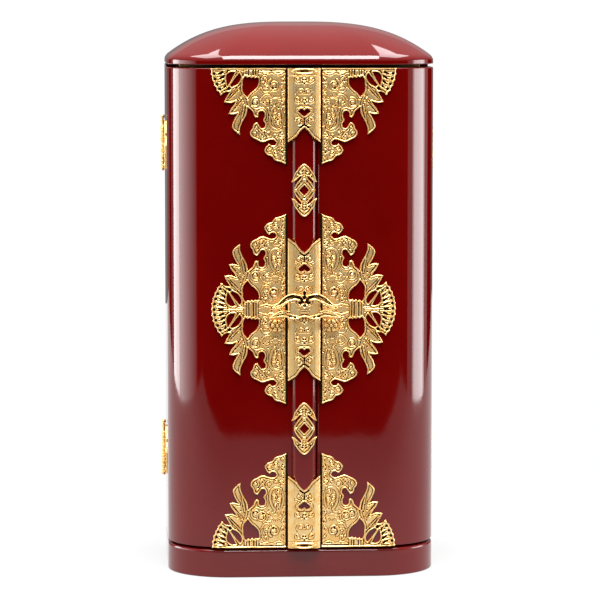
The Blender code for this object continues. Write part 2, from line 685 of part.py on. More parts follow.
def make_shrine():
    make_base()
    make_roof()
    make_back_shell()
    left_axis = joint_axis("left_door_axis", (-HINGE_AXIS_X, 0, DOOR_MIDDLE))
    right_axis = joint_axis("right_door_axis", (HINGE_AXIS_X, 0, DOOR_MIDDLE))
    clasp_axis = joint_axis("clasp_axis", (0, FRONT, CLASP_HEIGHT), left_axis)
    half_gap = MEETING_GAP / 2
    meetings = {-1: -(MEETING_LINE - half_gap), 1: MEETING_LINE + half_gap}
    for word, side, axis in (("left", -1, left_axis), ("right", 1, right_axis)):
        pieces = [make_door(f"door_{word}", side, meetings[side]), make_knob(f"knob_{word}", side)]
        for place_word, halves, height in (
            ("top", [-1], DOOR_TOP),
            ("middle", [1, -1], DOOR_MIDDLE),
            ("bottom", [1], DOOR_BOTTOM),
        ):
            pieces.append(make_fitting(f"fitting_{word}_{place_word}", side, halves, height))
        for place_word, height in (
            ("upper", DOOR_TOP - UPPER_HINGE_DROP),
            ("lower", DOOR_BOTTOM + LOWER_HINGE_RISE),
        ):
            pieces.append(make_hinge(f"hinge_{word}_{place_word}", side, height))
        carry(axis, pieces)
    end_tip = DOOR_HEIGHT / 2 - END_CAP_LENGTH
    middle_tip = MIDDLE_CAP_LENGTH / 2
    lozenge_offset = (end_tip + middle_tip) / 2
    low, high = DOOR_MIDDLE - middle_tip, DOOR_MIDDLE + middle_tip
    middle_cap = make_cap("batten_cap_middle", low, high, (-1, 1))
    bore = pin_cutter("cap_bore", CAP_FRONT + CUTTER_MARGIN, CAP_FRONT - CUTTER_MARGIN)
    boolean(middle_cap, bore, "DIFFERENCE")
    on_batten = [
        make_batten(),
        make_cap("batten_cap_top", DOOR_TOP - END_CAP_LENGTH, DOOR_TOP, (-1,)),
        middle_cap,
        make_cap("batten_cap_bottom", DOOR_BOTTOM, DOOR_BOTTOM + END_CAP_LENGTH, (1,)),
        make_lozenge("lozenge_upper", DOOR_MIDDLE + lozenge_offset),
        make_lozenge("lozenge_lower", DOOR_MIDDLE - lozenge_offset),
    ]
    carry(left_axis, on_batten)
    carry(clasp_axis, [make_clasp()])


make_shrine()
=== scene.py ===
"""Looks of a miniature Buddhist shrine: a red lacquer case with chased and pierced gilt plates.

Lengths are millimetres, and become metres where a mesh is made. The doors face -Y."""

import math

import bmesh
import bpy
import numpy as np
from mathutils import Matrix, Vector


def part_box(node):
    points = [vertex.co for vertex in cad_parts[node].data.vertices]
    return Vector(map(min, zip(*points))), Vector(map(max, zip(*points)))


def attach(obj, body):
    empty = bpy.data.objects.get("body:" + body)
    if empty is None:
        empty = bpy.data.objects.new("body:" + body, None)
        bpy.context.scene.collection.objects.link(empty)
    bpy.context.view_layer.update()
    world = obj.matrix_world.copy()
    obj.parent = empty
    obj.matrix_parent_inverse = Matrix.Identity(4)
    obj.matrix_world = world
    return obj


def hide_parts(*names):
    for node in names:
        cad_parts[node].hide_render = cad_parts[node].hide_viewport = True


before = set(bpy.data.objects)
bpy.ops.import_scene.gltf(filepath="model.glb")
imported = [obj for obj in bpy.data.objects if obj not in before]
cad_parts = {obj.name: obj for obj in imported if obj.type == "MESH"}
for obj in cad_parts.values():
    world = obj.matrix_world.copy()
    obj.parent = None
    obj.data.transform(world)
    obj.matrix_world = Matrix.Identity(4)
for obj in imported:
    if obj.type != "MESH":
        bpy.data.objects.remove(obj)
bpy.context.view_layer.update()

MM = 0.001


def corners(node):
    """A node's lowest and highest corner at rest."""
    low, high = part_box(node)
    return np.array(low) / MM, np.array(high) / MM


# Sizes read from the frame
SHELL_LOW, SHELL_HIGH = corners("back_shell")
BASE_HIGH = corners("base")[1]
ROOF_LOW, ROOF_HIGH = corners("roof")
DOOR_LOW, DOOR_HIGH = corners("door_left")
BATTEN_LOW, BATTEN_HIGH = corners("batten")
CLASP_LOW, CLASP_HIGH = corners("clasp")
HALF_WIDTH = SHELL_HIGH[0]
HALF_DEPTH = SHELL_HIGH[1]
FRONT = DOOR_LOW[1]
DOOR_BOTTOM = DOOR_LOW[2]
DOOR_TOP = DOOR_HIGH[2]
DOOR_MIDDLE = (DOOR_BOTTOM + DOOR_TOP) / 2

# Sizes of the case, as in the CAD
CORNER_RADIUS = 20.0
CORNER_FACETS = 40
WALL = 3.6
FLOOR_INSET = 4.3
PLINTH_HEIGHT = 9.1
PLINTH_TOP_ROUNDING = 1.0
PLINTH_FOOT_ROUNDING = 0.5
STEP_ROUNDING = 0.4
ROOF_BOTTOM = 164.5
ROOF_RIM_TOP = 166.7
ROOF_EASING = 1.1
DOME_POWER = 3.1
DOME_RINGS = 40
EASING_RINGS = 10
DOOR_ROUNDING = 0.35
BATTEN_SHOULDER = ((0.8, -90, -52), (3.4, -52, -27), (0.3, -27, 0))
STRAIGHT = HALF_WIDTH - CORNER_RADIUS

# Relief work: the grid's step, the plates' own sizes, and how strokes are cut and darkened with painted
# shade
GRAIN = 0.16
PLATE_STAND = 0.04
PLATE_BODY = 0.66
PLATE_INNER = 5.5
PLATE_UNDERLAP = 0.3
THINNEST = 0.08
RIDGE_SHARE = 0.55
RIDGE_CUT = 0.15
RIDGE_CUT_AWAY = 0.14
CUT_REACH = 0.2
# Painted shade laid into a cut, for each millimetre of its depth
CUT_SHADE = 0.3


class Wire:
    """A node's output, so that shader maths reads as Python expressions."""

    def __init__(self, finish, socket):
        self.finish = finish
        self.socket = socket

    def maths(self, operation, *values):
        inputs = dict(enumerate(values))
        return self.finish.add("ShaderNodeMath", {"operation": operation}, inputs)

    def __add__(self, other):
        return self.maths("ADD", self, other)

    def __radd__(self, other):
        return self.maths("ADD", other, self)

    def __sub__(self, other):
        return self.maths("SUBTRACT", self, other)

    def __rsub__(self, other):
        return self.maths("SUBTRACT", other, self)

    def __mul__(self, other):
        return self.maths("MULTIPLY", self, other)

    def __rmul__(self, other):
        return self.maths("MULTIPLY", other, self)

    def __pow__(self, other):
        return self.maths("POWER", self, other)

    def ramp(self, low, high):
        """0 at low, 1 at high, held between them."""
        inputs = {"Value": self, "From Min": low, "From Max": high}
        settings = {"interpolation_type": "SMOOTHSTEP"}
        return self.finish.add("ShaderNodeMapRange", settings, inputs)


class Finish:
    """A material under way. add() makes every node."""

    def __init__(self, name):
        self.material = bpy.data.materials.new(name)
        self.material.use_nodes = True
        self.tree = self.material.node_tree
        self.tree.nodes.clear()
        self.end = self.tree.nodes.new("ShaderNodeOutputMaterial")

    def add(self, kind, settings=None, inputs=None, output=0):
        node = self.tree.nodes.new(kind)
        for name, value in (settings or {}).items():
            setattr(node, name, value)
        for name, value in (inputs or {}).items():
            socket = node.inputs[name]
            if isinstance(value, Wire):
                self.tree.links.new(value.socket, socket)
            else:
                socket.default_value = value
        return Wire(self, node.outputs[output])

    def place(self):
        return self.add("ShaderNodeTexCoord", output="Object")

    def noise(self, size, detail=3.0, roughness=0.5, stretch=(1, 1, 1)):
        """Noise whose lumps are about size millimetres across."""
        scaled = self.add("ShaderNodeVectorMath", {"operation": "MULTIPLY"}, {0: self.place(), 1: stretch})
        inputs = {"Vector": scaled, "Scale": 1 / (size * MM), "Detail": detail}
        inputs["Roughness"] = roughness
        return self.add("ShaderNodeTexNoise", None, inputs)

    def mixed(self, share, first, second):
        """A colour between first and second."""
        inputs = {0: share, 6: first, 7: second}
        return self.add("ShaderNodeMix", {"data_type": "RGBA"}, inputs, output=2)

    def bumped(self, height, depth, strength=1.0):
        inputs = {"Height": height, "Distance": depth * MM, "Strength": strength}
        return self.add("ShaderNodeBump", None, inputs)

    def surface(self, inputs):
        return self.finish_with(self.add("ShaderNodeBsdfPrincipled", None, inputs))

    def finish_with(self, shader):
        self.tree.links.new(shader.socket, self.end.inputs["Surface"])
        return self.material


def red_lacquer():
    """Deep red lacquer, polished to a mirror, with the slow waviness of hand rubbing."""
    finish = Finish("red_lacquer")
    clouds = finish.noise(26, detail=4.0, roughness=0.6)
    grain = finish.noise(1.6, detail=2.0)
    colour = finish.mixed(clouds.ramp(0.3, 0.7), (0.100, 0.0008, 0.0006, 1), (0.112, 0.0012, 0.0008, 1))
    rubbing = finish.noise(9, detail=2.0)
    polish = finish.noise(14, detail=5.0, roughness=0.7)
    bump = finish.bumped(rubbing + 0.04 * grain, 0.012)
    inputs = {"Base Color": colour, "Roughness": 0.03 + 0.05 * polish, "IOR": 1.5, "Normal": bump}
    return finish.surface(inputs)


def gold_leaf():
    """Gold leaf inside the case, in laid squares whose overlaps show faintly."""
    finish = Finish("gold_leaf")
    inputs = {"Vector": finish.place(), "Scale": 1.0, "Mortar Size": 0.25 * MM}
    inputs |= {"Brick Width": 24 * MM, "Row Height": 24 * MM}
    squares = finish.add("ShaderNodeTexBrick", {"offset": 0.35}, inputs, output="Fac")
    wrinkles = finish.noise(3.5, detail=6.0, roughness=0.65)
    worn = (0.8, 0.52, 0.2, 1)
    full = (0.93, 0.66, 0.28, 1)
    colour = finish.mixed(wrinkles.ramp(0.25, 0.6), worn, full)
    bump = finish.bumped(wrinkles + squares * 0.8, 0.02)
    roughness = 0.38 + 0.1 * wrinkles
    inputs = {"Base Color": colour, "Metallic": 1.0, "Roughness": roughness, "Normal": bump}
    return finish.surface(inputs)


def gilt_brass():
    """Chased brass under gilding: bright on the ridges, and darkened with painted shade in its recesses and
    in the cuts that the punch left.
    """
    finish = Finish("gilt_brass")
    painted_shade = finish.add("ShaderNodeAttribute", {"attribute_name": "painted_shade"}, output="Fac")
    tone = finish.noise(2.2, detail=4.0, roughness=0.6)
    pale = (1.0, 0.75, 0.37, 1)
    warm = (0.97, 0.59, 0.2, 1)
    deepest_shade = (0.03, 0.013, 0.004, 1)
    gold = finish.mixed(tone.ramp(0.3, 0.7), pale, warm)
    # Painted shade from the point attribute: recesses turn orange-brown, and the deepest cuts black.
    shaded = finish.mixed(painted_shade.ramp(0.0, 0.05), gold, (0.6, 0.27, 0.055, 1))
    colour = finish.mixed(painted_shade.ramp(0.05, 0.12), shaded, deepest_shade)
    roughness = 0.36 + 0.12 * tone + 0.2 * painted_shade.ramp(-0.02, 0.08)
    bump = finish.bumped(finish.noise(0.25, detail=2.0), 0.02, 0.5)
    inputs = {"Base Color": colour, "Metallic": 1.0, "Roughness": roughness, "Normal": bump}
    return finish.surface(inputs)


RED = red_lacquer()
LEAF = gold_leaf()
GILT = gilt_brass()


def new_piece(name, points, faces, finishes, smooth_angle=None):
    """An object from points in millimetres."""
    mesh = bpy.data.meshes.new(name)
    mesh.from_pydata((np.asarray(points) * MM).tolist(), [], faces)
    piece = bpy.data.objects.new(name, mesh)
    bpy.context.scene.collection.objects.link(piece)
    for finish in finishes:
        mesh.materials.append(finish)
    mesh.shade_smooth()
    if smooth_angle:
        mesh.set_sharp_from_angle(angle=math.radians(smooth_angle))
    return piece


def gilt_piece(name, points, faces, painted_shades, smooth_angle=62):
    """A chased piece. The last argument gives the painted shade that darkens each point."""
    piece = new_piece(name, points, faces, [GILT], smooth_angle)
    # The point attribute carries each point's painted shade.
    layer = piece.data.attributes.new("painted_shade", "FLOAT", "POINT")
    layer.data.foreach_set("value", painted_shades)
    return piece


def stands_for(piece, node, body):
    """Says which CAD node a piece replaces and what it rides on."""
    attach(piece, body)
    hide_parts(node)
    return piece


def mirrored(points):
    """Points of the other side, in the order that carries the line on."""
    return [(-x, y) for x, y in reversed(points)]


def quarter_plan(inset, share=1.0):
    """Plan points round the front right corner, from the front face to the side face."""
    radius = CORNER_RADIUS - inset
    turn = np.linspace(-math.pi / 2, 0, CORNER_FACETS + 1)
    x = STRAIGHT + radius * np.cos(turn)
    y = CORNER_RADIUS - HALF_DEPTH + radius * np.sin(turn)
    return [(a * share, b * share) for a, b in zip(x, y)]


def whole_plan(inset=0.0, share=1.0):
    quarter = quarter_plan(inset, share)
    right = quarter + [(x, -y) for x, y in reversed(quarter)]
    return right + mirrored(right)


def arc(centre, radius, start, end, steps=6):
    """Points of an arc as (x, y), angles in degrees."""
    turn = np.radians(np.linspace(start, end, steps + 1))
    return [(centre[0] + radius * math.cos(a), centre[1] + radius * math.sin(a)) for a in turn]


def even_normals(piece):
    """Keeps flat faces flat beside small roundings."""
    even = piece.modifiers.new("even_normals", "WEIGHTED_NORMAL")
    even.weight = 100
    even.keep_sharp = True


def lofted(name, rings, gilded):
    """A closed form through rings of (plan points, height). gilded tells whether a face is gold, from the
    height of its middle."""
    count = len(rings[0][0])
    points = [(x, y, z) for plan, z in rings for x, y in plan]
    faces = [list(range(count))[::-1]]
    for ring in range(len(rings) - 1):
        below, above = ring * count, (ring + 1) * count
        for i in range(count):
            j = (i + 1) % count
            faces.append([below + i, below + j, above + j, above + i])
    faces.append([(len(rings) - 1) * count + i for i in range(count)])
    piece = new_piece(name, points, faces, [RED, LEAF])
    for face in piece.data.polygons:
        face.material_index = int(gilded(face.center.z / MM))
    even_normals(piece)
    return piece


def make_base():
    """Plinth with softened edges, and the gilded inner floor."""
    foot, top = PLINTH_FOOT_ROUNDING, PLINTH_TOP_ROUNDING
    step_top = BASE_HIGH[2]
    profile = [(foot - x, z) for x, z in arc((0, foot), foot, -90, 0)]
    profile += [(top - x, z) for x, z in arc((0, PLINTH_HEIGHT - top), top, 0, 90)]
    profile += [(FLOOR_INSET, PLINTH_HEIGHT)]
    step = arc((0, step_top - STEP_ROUNDING), STEP_ROUNDING, 0, 90)
    profile += [(FLOOR_INSET + STEP_ROUNDING - x, z) for x, z in step]
    rings = [(whole_plan(inset), z) for inset, z in profile]
    plinth = lofted("plinth", rings, lambda height: height > PLINTH_HEIGHT + 0.1)
    stands_for(plinth, "base", "case")


def make_roof():
    """Rim and low dome in one smooth rise, over a gilded plug."""
    edge = DOOR_ROUNDING
    height = ROOF_HIGH[2] - ROOF_RIM_TOP
    rings = [(whole_plan(FLOOR_INSET), ROOF_LOW[2]), (whole_plan(FLOOR_INSET), ROOF_BOTTOM)]
    rings += [(whole_plan(edge - x), z) for x, z in arc((0, ROOF_BOTTOM + edge), edge, -90, 0, 5)]
    ease = ROOF_EASING / HALF_DEPTH
    turn = 1 - ease
    low, high = ROOF_RIM_TOP - ROOF_EASING, ROOF_RIM_TOP + height * (1 - turn**DOME_POWER)
    for t in np.arange(EASING_RINGS) / (EASING_RINGS - 1):
        share = (1 - t) ** 2 + 2 * t * (1 - t) + t**2 * turn
        z = (1 - t) ** 2 * low + 2 * t * (1 - t) * ROOF_RIM_TOP + t**2 * high
        rings.append((whole_plan(share=share), z))
    for step in range(1, DOME_RINGS + 1):
        share = turn * (1 - (step / (DOME_RINGS + 0.4)) ** 1.5)
        rings.append((whole_plan(share=share), ROOF_RIM_TOP + height * (1 - share**DOME_POWER)))
    roof = lofted("domed_roof", rings, lambda height: height < ROOF_BOTTOM - 0.05)
    stands_for(roof, "roof", "case")


INWARD_LIMIT = 10.0


def walled(name, outline, low, high, rounding):
    """An upright wall with this plan, rounded along its sharp edges, gilded on its inner faces."""
    form = bmesh.new()
    face = form.faces.new([form.verts.new((x * MM, y * MM, low * MM)) for x, y in outline])
    lifted = bmesh.ops.extrude_face_region(form, geom=[face])["geom"]
    rise = Vector((0, 0, (high - low) * MM))
    bmesh.ops.translate(form, verts=[v for v in lifted if isinstance(v, bmesh.types.BMVert)], vec=rise)
    bmesh.ops.recalc_face_normals(form, faces=form.faces[:])
    sharp = [edge for edge in form.edges if edge.calc_face_angle() > math.radians(50)]
    bmesh.ops.bevel(form, geom=sharp, offset=rounding * MM, segments=5, profile=0.5, affect="EDGES")
    piece = new_piece(name, [], [], [RED, LEAF])
    form.to_mesh(piece.data)
    form.free()
    piece.data.shade_smooth()
    for face in piece.data.polygons:
        outward = face.normal.dot(Vector((face.center.x, face.center.y, 0))) / MM
        face.material_index = int(outward < -INWARD_LIMIT)
    even_normals(piece)
    return piece


def make_back_shell():
    """Back and rear half of both sides."""
    outer = [(HALF_WIDTH, SHELL_LOW[1])] + [(x, -y) for x, y in reversed(quarter_plan(0))]
    inner = [(HALF_WIDTH - WALL, SHELL_LOW[1])]
    inner += [(x, -y) for x, y in reversed(quarter_plan(WALL))]
    outline = outer + mirrored(outer) + mirrored(inner)[::-1] + inner[::-1]
    shell = walled("case_shell", outline, SHELL_LOW[2], SHELL_HIGH[2], DOOR_ROUNDING)
    stands_for(shell, "back_shell", "case")


def make_door(word, side):
    """A leaf round one front corner, with softened edges."""
    low, high = corners(f"door_{word}")
    meeting = high[0] if side < 0 else low[0]
    outer = [(side * meeting, FRONT)] + quarter_plan(0) + [(HALF_WIDTH, high[1])]
    inner = [(side * meeting, FRONT + WALL)] + quarter_plan(WALL)
    inner += [(HALF_WIDTH - WALL, high[1])]
    outline = [(side * x, y) for x, y in outer + inner[::-1]]
    leaf = walled(f"{word}_leaf", outline, DOOR_BOTTOM, DOOR_TOP, DOOR_ROUNDING)
    stands_for(leaf, f"door_{word}", f"{word}_door")


def bar(name, outline, low, high):
    """An upright lacquered bar. Seen from above, its outline runs clockwise."""
    count = len(outline)
    points = [(x, y, z) for z in (low, high) for x, y in outline]
    faces = [list(range(count)), [2 * count - 1 - i for i in range(count)]]
    faces += [[i, i + count, (i + 1) % count + count, (i + 1) % count] for i in range(count)]
    return new_piece(name, points, faces, [RED], 50)


def make_batten():
    """Moulding over the meeting line, with rounded shoulders."""
    turns = np.array([[0.0, 0.0]])
    for radius, start, end in BATTEN_SHOULDER:
        step = np.array(arc((0, 0), radius, start, end))
        turns = np.concatenate([turns, step[1:] - step[0] + turns[-1]])
    turns += np.array([BATTEN_HIGH[0], BATTEN_LOW[1]]) - [turns[-1][0], 0]
    right = [(BATTEN_HIGH[0], FRONT - PLATE_STAND)] + [tuple(point) for point in turns[::-1]]
    batten = bar("meeting_batten", right + mirrored(right), DOOR_BOTTOM, DOOR_TOP)
    even_normals(batten)
    stands_for(batten, "batten", "left_door")


def make_lip():
    """Raised lip along the right leaf's meeting edge, which catches the light beside the batten."""
    edge = corners("door_right")[0][0]
    profile = [(0.55, 0.05), (0.55, -0.02), (0.36, -0.2), (0.28, -0.25), (0.14, -0.26), (0.06, -0.2)]
    outline = [(edge + x, FRONT + y) for x, y in profile + [(0.06, 0.05)]]
    lip = bar("meeting_lip", outline, DOOR_BOTTOM + DOOR_ROUNDING, DOOR_TOP - DOOR_ROUNDING)
    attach(lip, "right_door")


def smooth_line(points, steps=4, closed=False, corner=68):
    """A curve through points, kept sharp where it turns by more than corner degrees."""
    points = np.array(points, float)
    count = len(points)
    ahead = np.roll(points, -1, 0) - points
    behind = points - np.roll(points, 1, 0)
    if not closed:
        ahead[-1] = behind[-1]
        behind[0] = ahead[0]
    ahead /= np.linalg.norm(ahead, axis=1)[:, None]
    behind /= np.linalg.norm(behind, axis=1)[:, None]
    middle = ahead + behind
    middle /= np.maximum(np.linalg.norm(middle, axis=1)[:, None], 1e-9)
    sharp = (ahead * behind).sum(1) < math.cos(math.radians(corner))
    leaving = np.where(sharp[:, None], ahead, middle)
    arriving = np.where(sharp[:, None], behind, middle)
    line = []
    for i in range(count if closed else count - 1):
        j = (i + 1) % count
        length = np.linalg.norm(points[j] - points[i])
        for t in np.arange(steps) / steps:
            line.append(
                (2 * t**3 - 3 * t**2 + 1) * points[i]
                + (t**3 - 2 * t**2 + t) * length * leaving[i]
                + (3 * t**2 - 2 * t**3) * points[j]
                + (t**3 - t**2) * length * arriving[j]
            )
    if not closed:
        line.append(points[-1])
    return np.array(line)


def symmetrical(right):
    """Closed curve from its right half, which starts and ends on the middle line."""
    return smooth_line(right + [(-x, z) for x, z in right[-2:0:-1]], closed=True)


def polar(centre, reach, degrees):
    """The point at this distance and angle from a centre."""
    turn = math.radians(degrees)
    return np.array(centre) + reach * np.array([math.cos(turn), math.sin(turn)])


def tent(away, reach):
    """1 where away is zero, falling evenly to 0 at reach on either side."""
    return np.clip(1 - np.abs(away) / reach, 0, 1)


def looped(line):
    return np.concatenate([line, line[:1]])


def distance(x, z, line, reach=None):
    """Distance of each point from a line, less its reach where one is given for each stretch."""
    nearest = np.full(x.shape, np.inf)
    for i in range(len(line) - 1):
        start, run = line[i], line[i + 1] - line[i]
        along = ((x - start[0]) * run[0] + (z - start[1]) * run[1]) / max(run @ run, 1e-12)
        along = np.clip(along, 0, 1)
        away = np.hypot(x - start[0] - along * run[0], z - start[1] - along * run[1])
        nearest = np.minimum(nearest, away if reach is None else away / reach[i])
    return nearest


def enclosed(x, z, loops):
    """Which points lie inside the loops and outside their holes."""
    inside = np.zeros(x.shape, bool)
    for loop in loops:
        for (x0, z0), (x1, z1) in zip(loop, np.roll(loop, -1, 0)):
            if z0 != z1:
                crosses = ((z0 > z) != (z1 > z)) & (x < x0 + (z - z0) * (x1 - x0) / (z1 - z0))
                inside ^= crosses
    return inside


def scatter(row, column):
    """A fixed even scatter between 0 and 1."""
    return np.modf(np.abs(np.sin(row * 12.9898 + column * 78.233) * 43758.5453))[0]


class Relief:
    """Heights over a pierced outline. Strokes are drawn once and repeat across a folded axis."""

    def __init__(self, loops, folded=(True, True)):
        every = np.concatenate(loops)
        first = np.floor(every.min(0) / GRAIN).astype(int) - 1
        last = np.ceil(every.max(0) / GRAIN).astype(int) + 2
        across = np.arange(first[0], last[0]) * GRAIN
        up = np.arange(first[1], last[1]) * GRAIN
        self.x, self.z = np.meshgrid(across, up)
        self.u = np.abs(self.x) if folded[0] else self.x
        self.v = np.abs(self.z) if folded[1] else self.z
        away = np.full(self.x.shape, np.inf)
        for loop in loops:
            away = np.minimum(away, distance(self.x, self.z, looped(loop)))
        away = np.maximum(away, 0.1 * GRAIN)
        self.edge = np.where(enclosed(self.x, self.z, loops), away, -away)
        self.height = np.zeros(self.x.shape)
        # Painted shade laid into the cuts
        self.cut_shade = np.zeros(self.x.shape)

    def near(self, line, reach):
        low, high = line.min(0) - reach, line.max(0) + reach
        return (self.u > low[0]) & (self.u < high[0]) & (self.v > low[1]) & (self.v < high[1])

    def sink(self, cut, cut_shade=CUT_SHADE, where=...):
        """Lowers the height by cut, and paints shade into it: the second argument times cut."""
        self.height[where] -= cut
        self.cut_shade[where] += cut_shade * cut

    def stroke(self, points, width, taper=0.0, closed=False):
        """Which points lie near a stroke, and how far out: 0 at its middle, 1 at its sides."""
        line = smooth_line(points, closed=closed) if len(points) > 2 else np.array(points, float)
        if closed:
            line = looped(line)
        where = self.near(line, width + 0.3)
        reach = width / 2 * (1 - taper * np.linspace(0, 1, len(line) - 1))
        return where, distance(self.u[where], self.v[where], line, reach)

    def ridge(self, points, width, rise, taper=0.0, closed=False):
        """A rounded line, set off by a cut along both sides."""
        where, away = self.stroke(points, width, taper, closed)
        near = np.clip(1 - away, 0, 1)
        beyond = (away - 1) * width / 2
        self.sink(RIDGE_CUT * tent(beyond - RIDGE_CUT_AWAY, CUT_REACH), where=where)
        ground = self.height[where]
        swell = RIDGE_SHARE * rise * np.sqrt(near * (2 - near))
        self.height[where] = np.where(near > 0, np.maximum(ground, swell), ground)

    def groove(self, points, width, depth, taper=0.0, cut_shade=CUT_SHADE):
        # A cut line, darkened with painted shade.
        where, away = self.stroke(points, width, taper)
        self.sink(depth * np.clip(1.5 * (1 - away), 0, 1), cut_shade, where)

    def bead(self, centre, radius, rise):
        away = np.hypot(self.u - centre[0], self.v - centre[1]) / radius
        swell = np.maximum(self.height, rise * np.sqrt(np.clip(1 - away**2, 0, 1)))
        self.height = np.where(away < 1, swell, self.height)

    def pit(self, centre, radius, depth, stretch=1.0):
        away = np.hypot(self.u - centre[0], (self.v - centre[1]) / stretch) / radius
        self.sink(depth * np.clip(1.4 * (1 - away), 0, 1))

    def volute(self, centre, radius, turns=1.4, start=0, hand=1, width=0.5, rise=0.16):
        """A scroll that winds in from its start, an angle in degrees, to an eye."""
        turn = np.linspace(0, 1, int(10 * turns) + 4)
        angle = math.radians(start) + hand * turn * turns * 2 * math.pi
        away = radius * (1 - 0.78 * turn)
        line = np.stack([centre[0] + away * np.cos(angle), centre[1] + away * np.sin(angle)], 1)
        self.ridge(line, width, rise, taper=0.35)
        self.bead(centre, 0.3 * radius, rise * 1.2)
        self.pit(polar(centre, 0.6 * radius, start + hand * 137.51), 0.2 + 0.12 * radius, 0.34)

    def stipple(self, spacing, rise, below):
        """Fish-roe ground of small uneven beads, wherever nothing higher than below is drawn."""
        row = np.round(self.v / (spacing * 0.866))
        shift = 0.5 * (row % 2)
        column = np.round(self.u / spacing - shift)
        size = scatter(row, column)
        jog_u = (scatter(column, row + 7) - 0.5) * 0.35 * spacing
        jog_v = (scatter(row + 3, column + 5) - 0.5) * 0.35 * spacing
        across = self.u - (column + shift) * spacing - jog_u
        up = self.v - row * spacing * 0.866 - jog_v
        beads = np.clip(1 - (np.hypot(across, up) / (0.55 * spacing)) ** 2, 0, 1)
        open_ground = np.clip(1 - self.height / below, 0, 1)
        self.height += rise * (0.35 + 1.1 * size) * beads * open_ground - 0.3 * rise * open_ground

    def rim(self, width, rise, groove):
        """Raised line along every edge, with a cut line inside it, and the edge itself eased."""
        across = self.edge / width
        line = np.sqrt(np.clip(1 - (2 * across - 1) ** 2, 0, 1))
        self.height = np.where(across < 1, rise * line, self.height)
        self.height -= groove * np.clip(1.3 - 1.3 * np.abs(across - 1.4) / 0.45, 0, 1)
        self.height -= 0.1 * np.clip(1 - across * 3, 0, 1)

    def painted_shade(self):
        """Painted shade of each place: how far it lies below the ground round it, and the shade painted into
        its cuts.
        """
        blurred = self.height.copy()
        for _ in range(8):
            padded = np.pad(blurred, 1, mode="edge")
            blurred = padded[:-2, 1:-1] + padded[2:, 1:-1] + padded[1:-1, :-2] + padded[1:-1, 2:]
            blurred /= 4
        return blurred - self.height + self.cut_shade


def turned_round(triangles, first):
    """Triangles with the corner for which first is true put first."""
    position = np.argmax(first[triangles], axis=1)
    return triangles[np.arange(len(triangles))[:, None], (position[:, None] + [0, 1, 2]) % 3]


def cut_grid(edge):
    """Triangles over a grid where edge is above zero, cut along its zero line. Returns the triangles, the
    cuts as pairs of an inner and an outer grid point, and the rim's directed edges."""
    rows, columns = edge.shape
    number = np.arange(rows * columns).reshape(rows, columns)
    a, b = number[:-1, :-1].ravel(), number[:-1, 1:].ravel()
    c, d = number[1:, 1:].ravel(), number[1:, :-1].ravel()
    triangles = np.concatenate([np.stack([a, b, c], 1), np.stack([a, c, d], 1)])
    inner = edge.ravel() > 0
    count = inner[triangles].sum(1)
    one = turned_round(triangles[count == 1], inner)
    two = turned_round(triangles[count == 2], ~inner)
    pairs = np.concatenate([one[:, [0, 1]], one[:, [0, 2]], two[:, [1, 0]], two[:, [2, 0]]])
    keys = pairs[:, 0] * edge.size + pairs[:, 1]
    unique, where = np.unique(keys, return_inverse=True)
    cuts = np.stack([unique // edge.size, unique % edge.size], 1)
    from_b, from_c, left, right = np.split(where + edge.size, np.cumsum([len(one), len(one), len(two)]))
    faces = [
        triangles[count == 3],
        np.stack([one[:, 0], from_b, from_c], 1),
        np.stack([left, two[:, 1], two[:, 2]], 1),
        np.stack([left, two[:, 2], right], 1),
    ]
    rim = np.concatenate([np.stack([from_b, from_c], 1), np.stack([right, left], 1)])
    return np.concatenate(faces), cuts, rim


def plate_mesh(relief, place, back):
    """Points, faces and painted shade of a closed plate: chased face, walls, and a back. place(x, z, out)
    gives the points. back is the height of the back, a number or an array over the grid."""
    faces, cuts, rim = cut_grid(relief.edge)
    edge = relief.edge.ravel()
    share = edge[cuts[:, 0]] / (edge[cuts[:, 0]] - edge[cuts[:, 1]])
    used, faces = np.unique(faces, return_inverse=True)
    faces = faces.reshape(-1, 3)
    rim = np.searchsorted(used, rim)

    def along(values):
        flat = values.ravel()
        cut_values = flat[cuts[:, 0]] * (1 - share) + flat[cuts[:, 1]] * share
        return np.concatenate([flat, cut_values])[used]

    rear = along(np.broadcast_to(back, relief.edge.shape))
    x, z, painted_shade = along(relief.x), along(relief.z), along(relief.painted_shade())
    out = np.maximum(along(relief.height), rear + THINNEST)
    count = len(used)
    points = np.concatenate([np.stack(place(x, z, out), 1), np.stack(place(x, z, rear), 1)])
    walls = np.stack([rim[:, 1], rim[:, 0], rim[:, 0] + count, rim[:, 1] + count], 1)
    every = [*faces.tolist(), *(faces[:, ::-1] + count).tolist(), *walls.tolist()]
    return points, every, np.concatenate([painted_shade, np.zeros(count)])


def turned_over(faces):
    return [face[::-1] for face in faces]


FAN_CENTRE = 10.77
FAN_RADIUS = 13.43
FAN_HALF_ANGLE = 40.4
FAN_LOBES = 10
FAN_LOBE_DEPTH = 0.38


def fan_points(radius, count, first=0.0, last=FAN_HALF_ANGLE, lobes=0.0):
    """Points along the fan at this radius, from the angle last down to first."""
    angles = np.linspace(last, first, count)
    ripple = np.abs(np.sin(np.radians(angles) * 180 / (2 * FAN_HALF_ANGLE / FAN_LOBES)))
    radii = radius - lobes * ripple**0.7
    turn = np.radians(angles)
    return np.stack([FAN_CENTRE + radii * np.cos(turn), radii * np.sin(turn)], 1)


